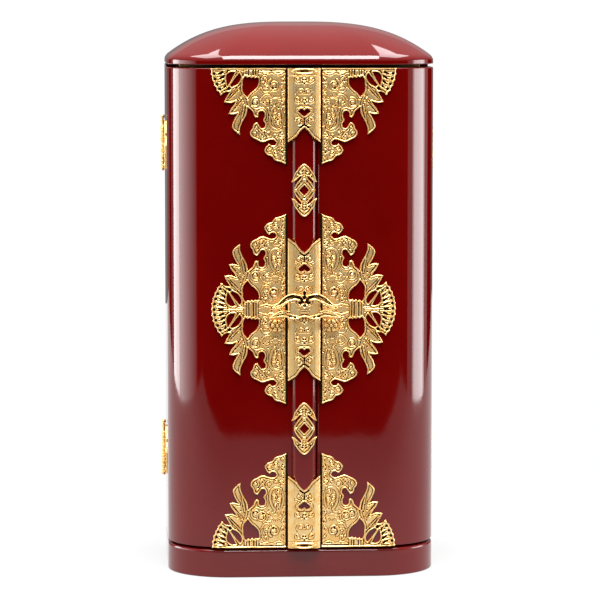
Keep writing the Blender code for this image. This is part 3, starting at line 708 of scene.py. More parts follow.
def fitting_outline():
    """Upper half of a door plate: its outer edge and its holes, from the straight inner edge and the
    centre line."""
    edge = [
        (0.0, 30.6), (1.7, 29.8), (3.7, 29.2), (4.7, 28.0), (6.2, 27.4), (7.0, 26.2), (6.5, 24.9),
        (5.5, 23.9), (4.6, 24.6), (3.6, 24.3), (3.2, 23.5), (4.3, 22.6), (5.9, 22.9), (7.7, 23.4),
        (9.6, 22.6), (11.2, 21.6), (11.6, 20.2), (10.8, 19.0), (10.5, 17.8), (9.4, 17.1),
        (8.6, 18.3), (7.9, 19.1), (7.0, 18.8), (6.7, 17.8), (7.4, 16.4), (6.9, 15.2),
        (7.1, 14.0), (7.9, 13.5), (8.8, 13.9), (9.0, 15.4), (9.8, 15.6), (10.3, 15.0),
        (10.7, 13.9), (12.4, 12.3), (12.7, 14.4), (13.7, 16.4), (14.4, 17.8), (14.9, 19.6),
        (14.8, 21.1), (15.9, 20.3), (17.2, 18.8), (16.9, 16.9), (15.4, 14.2), (16.8, 14.6),
        (18.4, 14.5), (17.7, 12.9), (16.7, 11.6), (16.0, 10.4), (17.8, 11.0), (19.9, 10.8),
        (19.1, 9.2), (18.0, 7.4), (19.4, 7.5),
    ]
    teardrop = [
        (12.5, 9.3), (11.5, 7.9), (9.9, 6.6), (9.0, 5.2), (8.9, 3.1), (9.5, 2.95), (10.1, 3.15),
        (10.6, 2.75), (11.2, 3.1), (11.8, 2.65), (12.4, 2.95), (13.0, 2.5), (13.6, 3.1),
        (14.0, 5.4), (13.9, 7.4),
    ]
    leaf_side = [(17.4, 6.0), (18.0, 5.4), (16.7, 3.6), (15.0, 1.5), (14.4, 2.6), (15.6, 5.0)]
    fan_side = [(18.8, 5.7), (17.5, 3.6), (16.3, 1.2), (17.9, 1.2), (19.2, 2.5)]
    fan = fan_points(FAN_RADIUS, 90, lobes=FAN_LOBE_DEPTH)
    outer = np.concatenate([smooth_line(edge), fan])
    holes = [smooth_line(hole, closed=True) for hole in (teardrop, leaf_side, fan_side)]
    return outer, holes


def fitting_loops(halves):
    """Loops of a plate made of the given halves, 1 for the upper and -1 for the lower one."""
    outer, holes = fitting_outline()
    tip = (-PLATE_UNDERLAP, outer[0][1])
    if len(halves) == 2:
        loops = [np.concatenate([[tip], outer, (outer * [1, -1])[-2::-1], [(tip[0], -tip[1])]])]
    else:
        start = [(tip[0], 0.0), (tip[0], tip[1] * halves[0])]
        loops = [np.concatenate([start, outer * [1, halves[0]]])]
    loops += [hole * [1, half] for half in halves for hole in holes]
    return [loop + [PLATE_INNER, 0] for loop in loops]


def chase_scrolls(relief, kind):
    """Scrollwork on the body of a plate. Places are (distance from the case's centre line, distance from
    the plate's own)."""
    draw = relief.ridge
    oval = [(7.4, 18.9), (8.8, 19.4), (10.3, 18.7), (10.95, 16.8), (10.7, 15.0), (10.1, 13.4), (9.3, 12.3)]
    draw(oval, 0.7, 0.17)
    draw([(7.2, 13.1), (6.7, 14.8), (6.6, 16.6), (7.3, 18.9)], 0.5, 0.13)
    relief.volute((8.3, 17.9), 0.95, 1.3, 200, -1, 0.4)
    relief.volute((9.5, 16.1), 0.9, 1.2, 60, 1, 0.4)
    relief.volute((7.9, 15.1), 0.85, 1.3, 120, -1, 0.4)
    relief.volute((9.1, 13.6), 0.75, 1.1, 80, 1, 0.38)
    relief.volute((15.4, 10.9), 1.65, 1.7, 250, 1, 0.5, 0.2)
    relief.volute((9.55, 5.3), 1.95, 1.5, 300, 1, 0.6, 0.2)
    draw([(16.6, 12.2), (15.0, 13.0), (13.4, 12.6), (12.2, 13.3), (11.6, 15.0), (11.7, 16.6)], 0.45, 0.15)
    draw([(13.9, 10.2), (12.9, 8.9), (11.5, 8.3), (10.6, 8.7)], 0.5, 0.17, taper=0.5)
    draw([(13.6, 6.3), (12.7, 7.6), (11.3, 7.5), (10.6, 6.9)], 0.45, 0.16, taper=0.4)
    draw([(13.7, 3.4), (12.9, 4.6), (13.2, 5.8)], 0.4, 0.15)
    relief.volute((12.3, 3.2), 0.95, 1.2, 30, -1, 0.4)
    relief.volute((12.0, 5.7), 0.7, 1.1, 10, -1, 0.36)
    draw([(6.2, 1.2), (8.2, 1.9), (10.2, 1.2), (12.2, 1.6), (14.2, 1.0)], 0.45, 0.15)
    for centre, radius, start, hand in (
        ((6.7, 8.6), 0.75, 90, 1),
        ((6.8, 11.2), 0.75, 260, -1),
        ((6.9, 6.2), 0.7, 100, 1),
        ((6.6, 3.6), 0.75, 240, -1),
        ((11.7, 10.5), 0.85, 20, 1),
        ((7.0, 20.9), 0.8, 30, 1),
        ((9.0, 21.3), 0.75, 200, -1),
        ((11.3, 20.6), 0.9, 330, 1),
        ((6.8, 23.4), 0.75, 90, -1),
        ((6.9, 26.0), 0.8, 300, 1),
        ((9.0, 26.9), 0.85, 120, -1),
        ((10.9, 25.9), 0.75, 200, 1),
        ((6.6, 28.6), 0.6, 60, -1),
        ((15.4, 20.7), 1.0, 250, -1),
        ((13.6, 21.4), 0.7, 90, 1),
    ):
        relief.volute(centre, radius, 1.15, start, hand, 0.38, 0.14)
    draw([(12.1, 21.9), (13.9, 19.9), (15.1, 18.6)], 0.4, 0.13)
    if kind == "top":
        draw([(11.3, 10.5), (11.3, 13.0), (10.4, 15.4), (8.4, 18.9)], 0.5, 0.17)
    if kind == "bottom":
        relief.volute((13.6, 10.0), 1.9, 2.2, 250, -1, 0.42, 0.18)


def chase_sun(relief):
    """Small sun with short rays in the middle of the scrollwork."""
    centre = (9.07, 10.05)
    relief.bead(centre, 1.75, 0.08)
    for step in range(14):
        angle = 360 * (step + 0.5) / 14
        relief.groove([polar(centre, 1.0, angle), polar(centre, 1.6, angle)], 0.26, 0.2)
    relief.bead(centre, 0.85, 0.2)


def chase_leaves(relief):
    """Leaf and two spikes between the scrollwork and the fan, each with a hollowed middle and a vein."""
    for tip, foot, spread in (
        ((20.6, 20.3), (18.9, 11.6), 0.9),
        ((23.6, 14.2), (19.9, 9.6), 0.55),
        ((24.9, 10.5), (19.9, 5.2), 0.6),
    ):
        tip, foot = np.array(tip), np.array(foot)
        along = tip - foot
        beside = np.array([-along[1], along[0]]) / np.linalg.norm(along)
        middle = foot + along * 0.5
        relief.ridge([foot, middle, tip], 1.9 * spread, 0.12, taper=0.5)
        for hand in (-1, 1):
            start = foot + beside * hand * spread * 0.5
            swell = middle + beside * hand * spread * 0.42
            relief.groove([start, swell, foot + along * 0.86], 0.26, 0.17)
        relief.ridge([foot, middle, foot + along * 0.9], 0.3, 0.26)
    for near in ((19.2, 11.3), (20.4, 12.0), (21.6, 15.0), (19.6, 13.6), (21.9, 12.5), (20.2, 8.6)):
        relief.pit(near, 0.33, 0.3)
    relief.ridge([(18.3, 12.3), (18.6, 10.4), (19.4, 8.2)], 0.5, 0.18)


def chase_ferrule(relief):
    """Ribbed collar, with the spear that runs from it to the fan, and the rod between the openings."""
    for rib in np.arange(14.9, 19.0, 0.78):
        relief.ridge([(rib, 0.0), (rib, 2.3)], 0.55, 0.24)
        relief.groove([(rib + 0.39, 0.0), (rib + 0.39, 2.6)], 0.22, 0.24)
        relief.bead((rib, 2.4), 0.4, 0.3)
    relief.ridge([(16.85, 0.0), (16.85, 2.3)], 0.9, 0.34)
    relief.ridge([(19.6, 0.0), (22.0, 0.35), (25.6, 0.0)], 1.6, 0.16, taper=0.5)
    relief.ridge([(19.6, 0.0), (26.6, 0.0)], 0.35, 0.28)
    relief.groove([(23.2, 0.75), (24.6, 1.5), (26.0, 1.15)], 0.5, 0.35)
    relief.groove([(21.3, 1.5), (22.9, 3.9), (24.0, 6.0)], 0.2, 0.16)
    for end, tip in (((21.0, 1.4), (23.8, 5.9)), ((21.35, 1.1), (24.2, 5.7))):
        relief.ridge([end, tip], 0.3, 0.2)


def chase_fan(relief):
    """Radial ribs of the fan, with two rows of punched holes."""
    pitch = 2 * FAN_HALF_ANGLE / FAN_LOBES

    def at(radius, angle):
        return polar((FAN_CENTRE + PLATE_INNER, 0), radius, angle)

    relief.ridge([at(8.5, angle) for angle in np.linspace(0, 38, 12)], 0.45, 0.18)
    for lobe in range(FAN_LOBES // 2 + 1):
        angle = lobe * pitch
        relief.ridge([at(8.3, angle + pitch / 2), at(12.9, angle + pitch / 2)], 0.36, 0.22)
        relief.ridge([at(8.8, angle + 0.5), at(11.6, angle)], 0.3, 0.16)
        relief.bead(at(12.3, angle), 0.78, 0.2)
        relief.pit(at(12.3, angle), 0.62, 0.62)
        slot = [at(10.8, angle + 1.2), at(9.5, angle - 0.6)]
        relief.groove(slot, 0.75, 0.5)


PUNCHED = (
    (6.8, 26.9), (6.2, 26.1), (8.0, 26.1), (7.0, 25.3), (8.2, 25.1), (7.5, 21.8), (7.4, 20.3),
    (12.5, 20.3), (11.1, 19.5), (8.3, 16.4), (8.1, 12.5), (15.1, 11.6), (13.1, 4.1), (12.3, 4.2),
    (9.0, 4.7), (9.9, 5.9), (10.7, 5.0), (8.9, 6.1), (11.9, 1.2), (10.3, 0.4), (7.7, 0.4),
    (6.6, 22.6), (14.6, 19.4), (10.2, 11.8), (11.4, 12.2), (6.1, 18.2), (6.2, 13.6), (12.9, 10.9),
)


def chase_fitting(kind):
    """The chased relief of a door plate."""
    halves = {"middle": (1, -1), "top": (-1,), "bottom": (1,)}[kind]
    relief = Relief(fitting_loops(halves))
    chase_scrolls(relief, kind)
    chase_sun(relief)
    chase_leaves(relief)
    chase_ferrule(relief)
    chase_fan(relief)
    relief.stipple(0.5, 0.045, 0.1)
    for spot in PUNCHED:
        relief.pit(spot, 0.3, 0.36)
    if kind != "middle":
        relief.ridge([(6.2, 1.05), (14.0, 1.05)], 0.3, 0.16)
        relief.groove([(6.4, 0.7), (14.2, 0.7)], 0.25, 0.22)
    relief.rim(0.42, 0.18, 0.2)
    # Painted shadow: the band along the inner edge, beside the batten's sleeves, is sunk and blackened.
    beside = relief.u - (PLATE_INNER - PLATE_UNDERLAP)
    relief.sink(0.3 * np.clip(3.2 - beside / 0.2, 0, 1), cut_shade=1.0)
    relief.height += PLATE_BODY
    return relief


def on_case(side, height):
    """Lays a plate on the case, round its corner where it reaches it."""

    def place(x, z, out):
        sine = np.clip(x - STRAIGHT, 0, None) / (CORNER_RADIUS + PLATE_BODY)
        reach = CORNER_RADIUS + out
        across = np.minimum(x, STRAIGHT) + reach * sine
        return side * across, CORNER_RADIUS - HALF_DEPTH - reach * np.sqrt(1 - sine**2), height + z

    return place


def make_fittings():
    for kind, height in (("top", DOOR_TOP), ("middle", DOOR_MIDDLE), ("bottom", DOOR_BOTTOM)):
        relief = chase_fitting(kind)
        for word, side in (("left", -1), ("right", 1)):
            points, faces, painted_shades = plate_mesh(relief, on_case(side, height), PLATE_STAND)
            if side < 0:
                faces = turned_over(faces)
            plate = gilt_piece(f"{kind}_plate_{word}", points, faces, painted_shades)
            stands_for(plate, f"fitting_{word}_{kind}", f"{word}_door")


CAP_LOW, CAP_HIGH = corners("batten_cap_middle")
CAP_HALF_WIDTH = CAP_HIGH[0]
CAP_FRONT = CAP_LOW[1]
CAP_BACK = CAP_HIGH[1]
CAP_FIELD = 3.1
CAP_TURN_AT = (2.6, 3.3, 4.9, 5.15)
CAP_TURN = (0, 27, 30, 50)
CAP_HOLLOW = 4.1
ARCH_RISE = 4.7
HEART_TO_ARCH = 4.7
HEART_REACH = 1.95
HEART_HEIGHT = 2.35
CAP_BODY = 0.12
ARCH_RIM = 0.5
VINE_PITCH = 3.4


def arch_line(apex, direction):
    """Pointed arch across a cap's end. direction is 1 where the cap ends above it."""
    shares = [(0, 0), (0.14, 0.13), (0.31, 0.33), (0.49, 0.6), (0.71, 0.78), (1, 1)]
    right = [(x * CAP_HALF_WIDTH, apex + direction * z * ARCH_RISE) for x, z in shares]
    half = smooth_line(right)
    return np.concatenate([half[::-1] * [-1, 1], half[1:]])


def heart_loop(height, direction):
    """Heart-shaped hole whose point looks along direction."""
    right = [(0, -0.28), (0.3, -0.5), (0.75, -0.46), (1, -0.12), (0.62, 0.16), (0, 0.5)]
    return symmetrical([(x * HEART_REACH, height + z * HEART_HEIGHT * direction) for x, z in right])


def cap_drop(reach):
    """How far a cap's face falls back at this distance from its middle."""
    steps = np.linspace(0, CAP_HALF_WIDTH + 1, 400)
    slope = np.tan(np.radians(np.interp(steps, CAP_TURN_AT, CAP_TURN)))
    return np.interp(reach, steps, np.cumsum(slope) * steps[1])


def flower(relief, centre, radius, petals, start):
    """Open flower: rounded petals, cut apart, round a bead. start is the first petal's angle."""
    pitch = 360 / petals
    for petal in range(petals):
        relief.bead(polar(centre, radius * 0.62, start + petal * pitch), radius * 0.42, 0.2)
    for petal in range(petals):
        relief.pit(polar(centre, radius * 0.58, start + (petal + 0.5) * pitch), 0.36, 0.6)
    relief.bead(centre, radius * 0.25, 0.26)


def chase_arch(relief, end, apex, heart):
    """Lobes under a pointed arch, and the line that frames its heart."""
    lobe = apex - end * 2.0
    round_lobe = [(0.3, lobe + end * 1.2), (0.45, lobe - end * 0.2), (1.5, lobe - end * 1.3)]
    relief.ridge([*round_lobe, (2.8, lobe - end * 0.7)], 0.34, 0.2)
    relief.volute((1.7, lobe + end * 0.1), 0.85, 1.3, 90 * end, end, 0.34, 0.16)
    surround = [(0.0, heart - end * 1.75), (1.3, heart - end * 1.8), (2.45, heart - end * 1.0)]
    relief.ridge([*surround, (2.4, heart + end * 0.3), (1.2, heart + end * 1.3)], 0.4, 0.22)


def chase_vine(relief, start, stop):
    """Flowers and curls by turns, up the middle of a cap."""
    count = max(2, round((stop - start) / VINE_PITCH))
    for step in range(count):
        height = start + (stop - start) * (step + 0.5) / count
        if step % 2 == 0:
            flower(relief, (0, height), 1.15, 5, 90)
            relief.volute((2.1, height + 0.7), 0.9, 1.1, 240, 1, 0.5, 0.15)
        else:
            relief.volute((1.1, height), 0.95, 1.1, 200, -1, 0.5, 0.16)
            tendril = [(2.2, height - 1.6), (2.7, height - 0.4), (2.3, height + 1.0)]
            relief.groove(tendril, 0.3, 0.3, taper=0.5)
            relief.pit((0.0, height), 0.34, 0.5)


def flatten_sides(relief):
    """Plain side bands, with a cut line beside the chased field."""
    band = np.clip((relief.u - CAP_FIELD) / 0.35, 0, 1)
    relief.height = relief.height * (1 - band) + 0.05 * band
    relief.height -= 0.12 * tent(relief.u - CAP_FIELD, CUT_REACH)


def cut_arch(relief, end, heart):
    """Cuts between a heart and its arch's point, blackened with painted shade: a stem, a V, and two lines on
    each side.
    """
    for points, width, depth, taper in (
        ([(0.0, 1.3), (0.0, 4.1)], 0.42, 0.6, 0.0),
        ([(0.0, 3.75), (1.4, 4.75)], 0.62, 0.6, 0.6),
        ([(0.0, 1.75), (1.2, 0.75)], 0.3, 0.4, 0.6),
        ([(0.0, 2.5), (0.9, 2.9), (1.9, 3.9)], 0.26, 0.3, 0.0),
    ):
        relief.groove([(x, heart + end * z) for x, z in points], width, depth, taper)


def outline_arches(relief, lines):
    """Raised rim along each line, with a cut line beside it, darkened with painted shade."""
    away = np.full(relief.x.shape, np.inf)
    for line in lines:
        away = np.minimum(away, distance(relief.x, relief.z, line))
    rim = np.sqrt(np.clip(1 - (2 * away / ARCH_RIM - 1) ** 2, 0, 1))
    relief.height = np.where(away < ARCH_RIM, 0.2 * rim, relief.height)
    relief.sink(0.1 * tent(away - ARCH_RIM - 0.18, CUT_REACH), cut_shade=0.8)


def chase_flat_end(relief, height):
    """Oval rim round a slot, where a cap ends at the roof or the plinth."""
    inward = np.abs(relief.z - height)
    ring = np.abs(np.hypot(relief.u / 4.1, (inward - 0.95) / 0.95) - 0.8) / 0.22
    relief.height = np.where(ring < 1, 0.32 * np.sqrt(np.clip(1 - ring**2, 0, 1)), relief.height)
    # The slot is sunk and blackened with painted shade.
    relief.sink(0.3 * np.clip(1.5 - relief.u, 0, 1) * tent(inward - 0.95, 0.4), cut_shade=1.0)
    relief.height -= 0.16 * tent(inward - 2.2, CUT_REACH)


def chase_cap(low, high, arched):
    """Relief of a batten sleeve. arched lists its arched ends, -1 for the lower and 1 for the upper."""
    half = CAP_HALF_WIDTH
    top = arch_line(high - ARCH_RISE, 1)[::-1] if 1 in arched else [(half, high), (-half, high)]
    bottom = arch_line(low + ARCH_RISE, -1) if -1 in arched else [(-half, low), (half, low)]
    apexes = {end: (high if end > 0 else low) - end * ARCH_RISE for end in arched}
    hearts = {end: apexes[end] - end * HEART_TO_ARCH for end in arched}
    holes = [heart_loop(hearts[end], end) for end in arched]
    relief = Relief([np.concatenate([bottom, top]), *holes], folded=(True, False))
    for end in arched:
        chase_arch(relief, end, apexes[end], hearts[end])
    start = hearts[-1] + 1.9 if -1 in arched else low + 1.6
    stop = hearts[1] - 1.9 if 1 in arched else high - 2.6
    chase_vine(relief, start, stop)
    relief.stipple(0.46, 0.035, 0.1)
    flatten_sides(relief)
    for end in arched:
        cut_arch(relief, end, hearts[end])
    arches = [line for end, line in ((-1, bottom), (1, top)) if end in arched]
    outline_arches(relief, arches + [looped(hole) for hole in holes])
    for end, height in ((-1, low), (1, high)):
        if end not in arched:
            chase_flat_end(relief, height)
    relief.height += CAP_BODY - cap_drop(relief.u)
    return relief


def make_cap(node, name, arched):
    """Gilt sleeve over the batten, hollow behind."""
    low, high = corners(node)
    relief = chase_cap(low[2], high[2], arched)
    hollow = BATTEN_LOW[1] - 0.12
    inside = np.clip((relief.u - CAP_HOLLOW) / GRAIN, 0, 1)
    back = CAP_FRONT - (hollow + (CAP_BACK - hollow) * inside)

    def place(x, z, out):
        return np.clip(x, -CAP_HALF_WIDTH, CAP_HALF_WIDTH), CAP_FRONT - out, z

    cap = gilt_piece(name, *plate_mesh(relief, place, back))
    stands_for(cap, node, "left_door")


def lozenge_loops():
    """Tulip caps above and below an open diamond frame."""
    quarter = [
        (0.0, 8.4), (1.3, 7.6), (2.3, 6.3), (3.2, 5.0), (3.5, 3.8), (4.15, 2.5), (3.2, 2.8),
        (2.3, 3.55), (1.5, 4.35), (0.95, 4.55), (1.0, 3.95), (2.0, 2.75), (2.8, 1.5), (3.35, 0.0),
    ]
    outer = symmetrical(quarter + [(x, -z) for x, z in quarter[-2::-1]])
    return [outer, np.array([(1.6, 0.0), (0.0, 1.75), (-1.6, 0.0), (0.0, -1.75)])]


def make_lozenges():
    relief = Relief(lozenge_loops())
    relief.ridge([(0.0, 7.2), (1.4, 6.0), (2.5, 4.4), (3.4, 3.2)], 0.45, 0.18)
    relief.volute((1.1, 5.4), 0.7, 1.2, 90, -1, 0.32, 0.16)
    relief.ridge([(0.0, 4.4), (0.7, 3.6), (0.0, 2.7)], 0.4, 0.2)
    relief.ridge([(0.35, 2.5), (1.6, 1.2), (2.5, 0.0)], 0.45, 0.2)
    relief.bead((2.8, 0.0), 0.5, 0.3)
    relief.bead((0.0, 3.1), 0.65, 0.25)
    relief.stipple(0.42, 0.06, 0.08)
    for spot in ((0.45, 6.1), (0.4, 5.4), (1.15, 4.9), (0.0, 2.3), (2.2, 4.3), (1.9, 5.4)):
        relief.pit(spot, 0.34, 0.45)
    relief.groove([(0.6, 3.3), (1.6, 2.2), (2.5, 0.9)], 0.24, 0.3)
    relief.rim(0.4, 0.16, 0.1)
    relief.height += 0.55
    front = BATTEN_LOW[1] - 0.03
    for node in ("lozenge_upper", "lozenge_lower"):
        low, high = corners(node)
        height = (low[2] + high[2]) / 2

        def place(x, z, out):
            return x, front - out, height + z

        lozenge = gilt_piece(f"pierced_{node}", *plate_mesh(relief, place, 0.0))
        stands_for(lozenge, node, "left_door")


def turned(profile, sides, place, shape=None):
    """Points and faces of a turned form. profile lists (radius, height) between two poles on the axis, and
    shape may change (radius, height) at an angle."""
    angles = 2 * math.pi * np.arange(sides) / sides
    rows = [place(np.array([0.0]), np.array([0.0]), np.array([profile[0][1]]))]
    for radius, height in profile[1:-1]:
        radii, heights = np.full(sides, radius), np.full(sides, height)
        if shape:
            radii, heights = shape(radii, heights, angles)
        rows.append(place(radii * np.cos(angles), radii * np.sin(angles), heights))
    rows.append(place(np.array([0.0]), np.array([0.0]), np.array([profile[-1][1]])))
    points = np.concatenate([np.stack(row, 1) for row in rows])
    last = len(points) - 1
    faces = []
    for i in range(sides):
        j = (i + 1) % sides
        faces.append([0, 1 + i, 1 + j])
        for row in range(len(profile) - 3):
            a = 1 + row * sides
            faces.append([a + i, a + sides + i, a + sides + j, a + j])
        a = 1 + (len(profile) - 3) * sides
        faces.append([a + i, last, a + j])
    return points, faces


def joined(plate, *plain):
    """A chased plate with plain (points, faces) beside it, as one."""
    points, faces, painted_shades = plate
    for more_points, more_faces in plain:
        faces = faces + [[len(points) + p for p in face] for face in more_faces]
        points = np.concatenate([points, more_points])
    return points, faces, np.pad(painted_shades, (0, len(points) - len(painted_shades)))


KNOB_PETALS = 6
KNOB_PETAL_NOTCH = 0.17
KNOB_PETAL_DIP = 0.3
KNOB_HEAD = 1.06


def make_knob(word, side):
    """Flower-shaped pull: cupped petals round a boss, on a waisted stem."""
    low, high = corners(f"knob_{word}")
    middle = (low + high) / 2
    radius = (high[2] - low[2]) / 2
    front, foot = low[1], FRONT - PLATE_BODY
    reach = foot - front

    def place(a, b, out):
        return middle[0] + a, foot - out, middle[2] + b

    cup_and_stem = (
        (0, 0), (0.08, 0.01), (0.16, 0.06), (0.22, 0.16), (0.26, 0.34), (0.32, 0.36), (0.42, 0.26),
        (0.55, 0.2), (0.68, 0.2), (0.8, 0.25), (0.9, 0.36), (0.97, 0.52), (1.0, 0.7), (0.97, 0.86),
        (0.88, 0.98), (0.72, 1.05), (0.5, 1.1), (0.4, 1.25), (0.38, 1.5), (0.42, 1.8), (0.55, 2.0),
        (0.62, 2.1), (0.62, reach), (0, reach),
    )
    profile = [(share * radius, reach - drop) for share, drop in cup_and_stem]

    def petals(radii, heights, angles):
        cleft = (1 - np.abs(np.cos(KNOB_PETALS * angles / 2))) ** 2
        cleft *= np.clip((radii / radius - 0.28) / 0.3, 0, 1) * (heights > reach - KNOB_HEAD)
        return radii * (1 - KNOB_PETAL_NOTCH * cleft), heights - KNOB_PETAL_DIP * cleft

    points, faces = turned(profile, 96, place, petals)
    # Painted shade: darker in the clefts between the petals and in a ring at the boss's foot, on the head
    # only.
    across, up = points[:, 0] - middle[0], points[:, 2] - middle[2]
    share = np.hypot(across, up) / radius
    between = (1 - np.abs(np.cos(KNOB_PETALS * np.arctan2(up, across) / 2))) ** 2
    dark = 0.14 * between * (share > 0.3) + 0.2 * tent(share - 0.33, 0.06)
    dark *= points[:, 1] < front + 1.1
    knob = gilt_piece(f"flower_pull_{word}", points, faces, dark, 50)
    stands_for(knob, f"knob_{word}", f"{word}_door")


CLASP_BODY = 0.8
CLASP_PROUD = 0.42
CLASP_ABOVE_MIDDLE = 0.6
CLASP_PIN_RADIUS = 0.9


def clasp_loops():
    """Spade finial, upper and lower pairs of wings, about the pin."""
    right = [
        (0.0, 6.2), (0.8, 5.0), (0.45, 4.2), (1.4, 4.3), (3.5, 4.7), (5.5, 4.3), (7.0, 3.4),
        (8.3, 2.2), (9.6, 1.3), (10.5, 0.6), (10.2, 0.1), (8.6, 0.2), (7.0, 0.7), (5.7, 1.7),
        (5.0, 2.0), (5.0, -0.9), (5.7, -0.7), (6.7, -0.5), (8.0, -0.7), (9.3, -1.2),
        (10.5, -1.9), (11.6, -2.8), (10.0, -2.7), (8.5, -2.6), (6.5, -2.6), (4.9, -3.1),
        (3.4, -3.4), (1.8, -3.2), (0.0, -2.5),
    ]
    return [symmetrical(right)]


def chase_clasp():
    """Relief of the clasp: ridged wings with crescents between them darkened by painted shade, a ribbed body
    and a spade.
    """
    relief = Relief(clasp_loops(), folded=(True, False))
    relief.ridge([(1.6, 2.6), (3.6, 2.8), (5.4, 2.2), (7.2, 1.3), (9.4, 0.6)], 0.6, 0.3)
    relief.ridge([(0.55, 1.5), (0.75, 2.5), (1.5, 2.9), (2.2, 2.4), (2.0, 1.5), (1.4, 1.2)], 0.4, 0.42)
    relief.bead((0.0, 4.4), 0.9, 0.22)
    for rib, reach in ((-0.2, 2.2), (-1.1, 2.0), (-1.85, 1.4)):
        line = [(0.0, rib), (0.6 * reach, rib), (reach, rib + 0.06)]
        # Rib grooves, darkened with extra painted shade.
        relief.groove(line, 0.42, 0.1, taper=0.6, cut_shade=1.5)
    lower_wing = [(0.0, -2.35), (1.6, -2.7), (3.6, -2.3), (6.2, -1.3), (8.4, -1.5), (11.0, -2.5)]
    relief.ridge(lower_wing, 0.5, 0.2)
    relief.ridge([(2.2, -3.1), (4.4, -2.8), (6.8, -2.25), (9.6, -2.4)], 0.4, 0.25)
    relief.stipple(0.42, 0.06, 0.1)
    relief.groove([(2.45, 3.65), (1.6, 3.45), (0.95, 2.85), (0.55, 1.75)], 1.05, 0.7)
    relief.groove([(2.9, 3.75), (4.0, 3.85), (5.2, 3.55), (6.6, 2.75), (7.8, 1.85)], 0.9, 0.5)
    for step in range(12):
        along = step / 11
        foot = (3.2 + 4.6 * along, 3.5 - 1.85 * along**1.5)
        relief.ridge([foot, (foot[0] + 0.3, foot[1] + 0.45)], 0.2, 0.05)
    relief.groove([(5.4, -1.35), (7.0, -1.75), (8.8, -2.1)], 0.3, 0.3)
    for spot, size in (((1.37, 1.7), 0.72), ((0.0, 0.85), 0.62), ((4.6, -2.5), 0.4), ((3.0, -2.75), 0.4)):
        relief.pit(spot, size, 0.7)
    relief.groove([(0.0, 3.3), (0.0, 5.3)], 1.6, 0.8)
    relief.rim(0.3, 0.2, 0.1)
    relief.height += CLASP_BODY
    return relief


def make_clasp():
    """Winged bar on a pin. Its wings sweep forward of the right door's swing."""
    start, tip = CAP_HALF_WIDTH - 0.55, CLASP_HIGH[0]
    back = CAP_FRONT - CLASP_PROUD
    forward = back - CLASP_BODY - CLASP_LOW[1] - 0.15
    height = DOOR_MIDDLE + CLASP_ABOVE_MIDDLE

    def swept(x, z, out):
        sweep = forward * (np.clip(np.abs(x) - start, 0, None) / (tip - start)) ** 1.2
        return x, back - sweep - out, height + z

    def along_pin(a, b, out):
        return a, back - out, height + b

    r, end = CLASP_PIN_RADIUS, back - BATTEN_HIGH[1]
    pin = turned([(0.0, 0.3), (r - 0.05, 0.3), (r, 0.2), (r, end + 0.1), (0.0, end)], 32, along_pin)
    clasp = gilt_piece("winged_clasp", *joined(plate_mesh(chase_clasp(), swept, 0.0), pin))
    stands_for(clasp, "clasp", "clasp")


HINGE_AXIS = HALF_WIDTH + 1.0
BARREL_LENGTH = 16.4
BARREL_RADIUS = 0.8
PIN_RADIUS = 0.35
HINGE_NECK = 2.2
KNUCKLE_RING = 0.38
KNUCKLE_PLAY = 0.15
LEAF_LOW = HINGE_AXIS - BARREL_RADIUS + 0.1


def leaf_relief(direction):
    """Pointed leaf of a hinge, chased with a scroll and three nails."""
    clear = BARREL_RADIUS + 0.3
    half = BARREL_LENGTH / 2 - 0.2
    reach = 8.6 - clear
    shares = [(0, 1), (0.2, 0.96), (0.32, 0.78), (0.46, 0.84), (0.58, 0.62), (0.72, 0.56)]
    shares += [(0.76, 0.36), (0.87, 0.26), (1, 0)]
    upper = smooth_line([(clear + s * reach, h * half) for s, h in shares])
    outline = np.concatenate([[(0.15, half)], upper, (upper * [1, -1])[-2::-1], [(0.15, -half)]])
    relief = Relief([outline * [direction, 1]])
    relief.ridge([(2.0, 6.8), (3.6, 5.2), (4.9, 4.6), (5.5, 2.6), (6.9, 1.2), (7.8, 0.0)], 0.4, 0.12)
    relief.volute((3.1, 3.6), 1.1, 1.4, 90, 1, 0.4, 0.12)
    relief.volute((5.0, 1.2), 0.8, 1.2, 120, -1, 0.36, 0.12)
    relief.stipple(0.45, 0.04, 0.08)
    for nail in ((2.1, 6.4), (6.9, 0.0), (2.0, 0.0)):
        relief.bead(nail, 0.55, 0.26)
    relief.rim(0.4, 0.12, 0.05)
    relief.height += 0.32
    return relief


def knuckle(low, high, axis_x, height, neck=0.0):
    """Barrel knuckle with turned rings, bored for the pin. neck is the length of its narrow upper part."""
    r = BARREL_RADIUS
    ring = KNUCKLE_RING
    top = high - neck
    outer = [(r * 0.84, low)]
    for middle in (low + ring, low + 3 * ring, (low + top) / 2, top - 3 * ring, top - ring):
        if abs(middle - ring - outer[-1][1]) > 0.01:
            outer.append((r * 0.84, middle - ring))
        outer += [(r * 0.97, middle - 0.6 * ring), (r, middle)]
        outer += [(r * 0.97, middle + 0.6 * ring), (r * 0.84, middle + ring)]
    if neck:
        outer += [(r * 0.72, top + 0.1), (r * 0.7, high - 0.5), (r * 0.9, high - 0.25), (r * 0.9, high)]
    bore = PIN_RADIUS + 0.15
    loop = outer + [(bore, high), (bore, low)]
    sides = 28
    angles = 2 * math.pi * np.arange(sides) / sides
    rows = [(axis_x + q * np.cos(angles), q * np.sin(angles), np.full(sides, height + z)) for q, z in loop]
    points = np.concatenate([np.stack(row, 1) for row in rows])
    faces = []
    for k in range(len(loop)):
        below, above = k * sides, (k + 1) % len(loop) * sides
        for i in range(sides):
            j = (i + 1) % sides
            faces.append([below + i, below + j, above + j, above + i])
    return points, faces


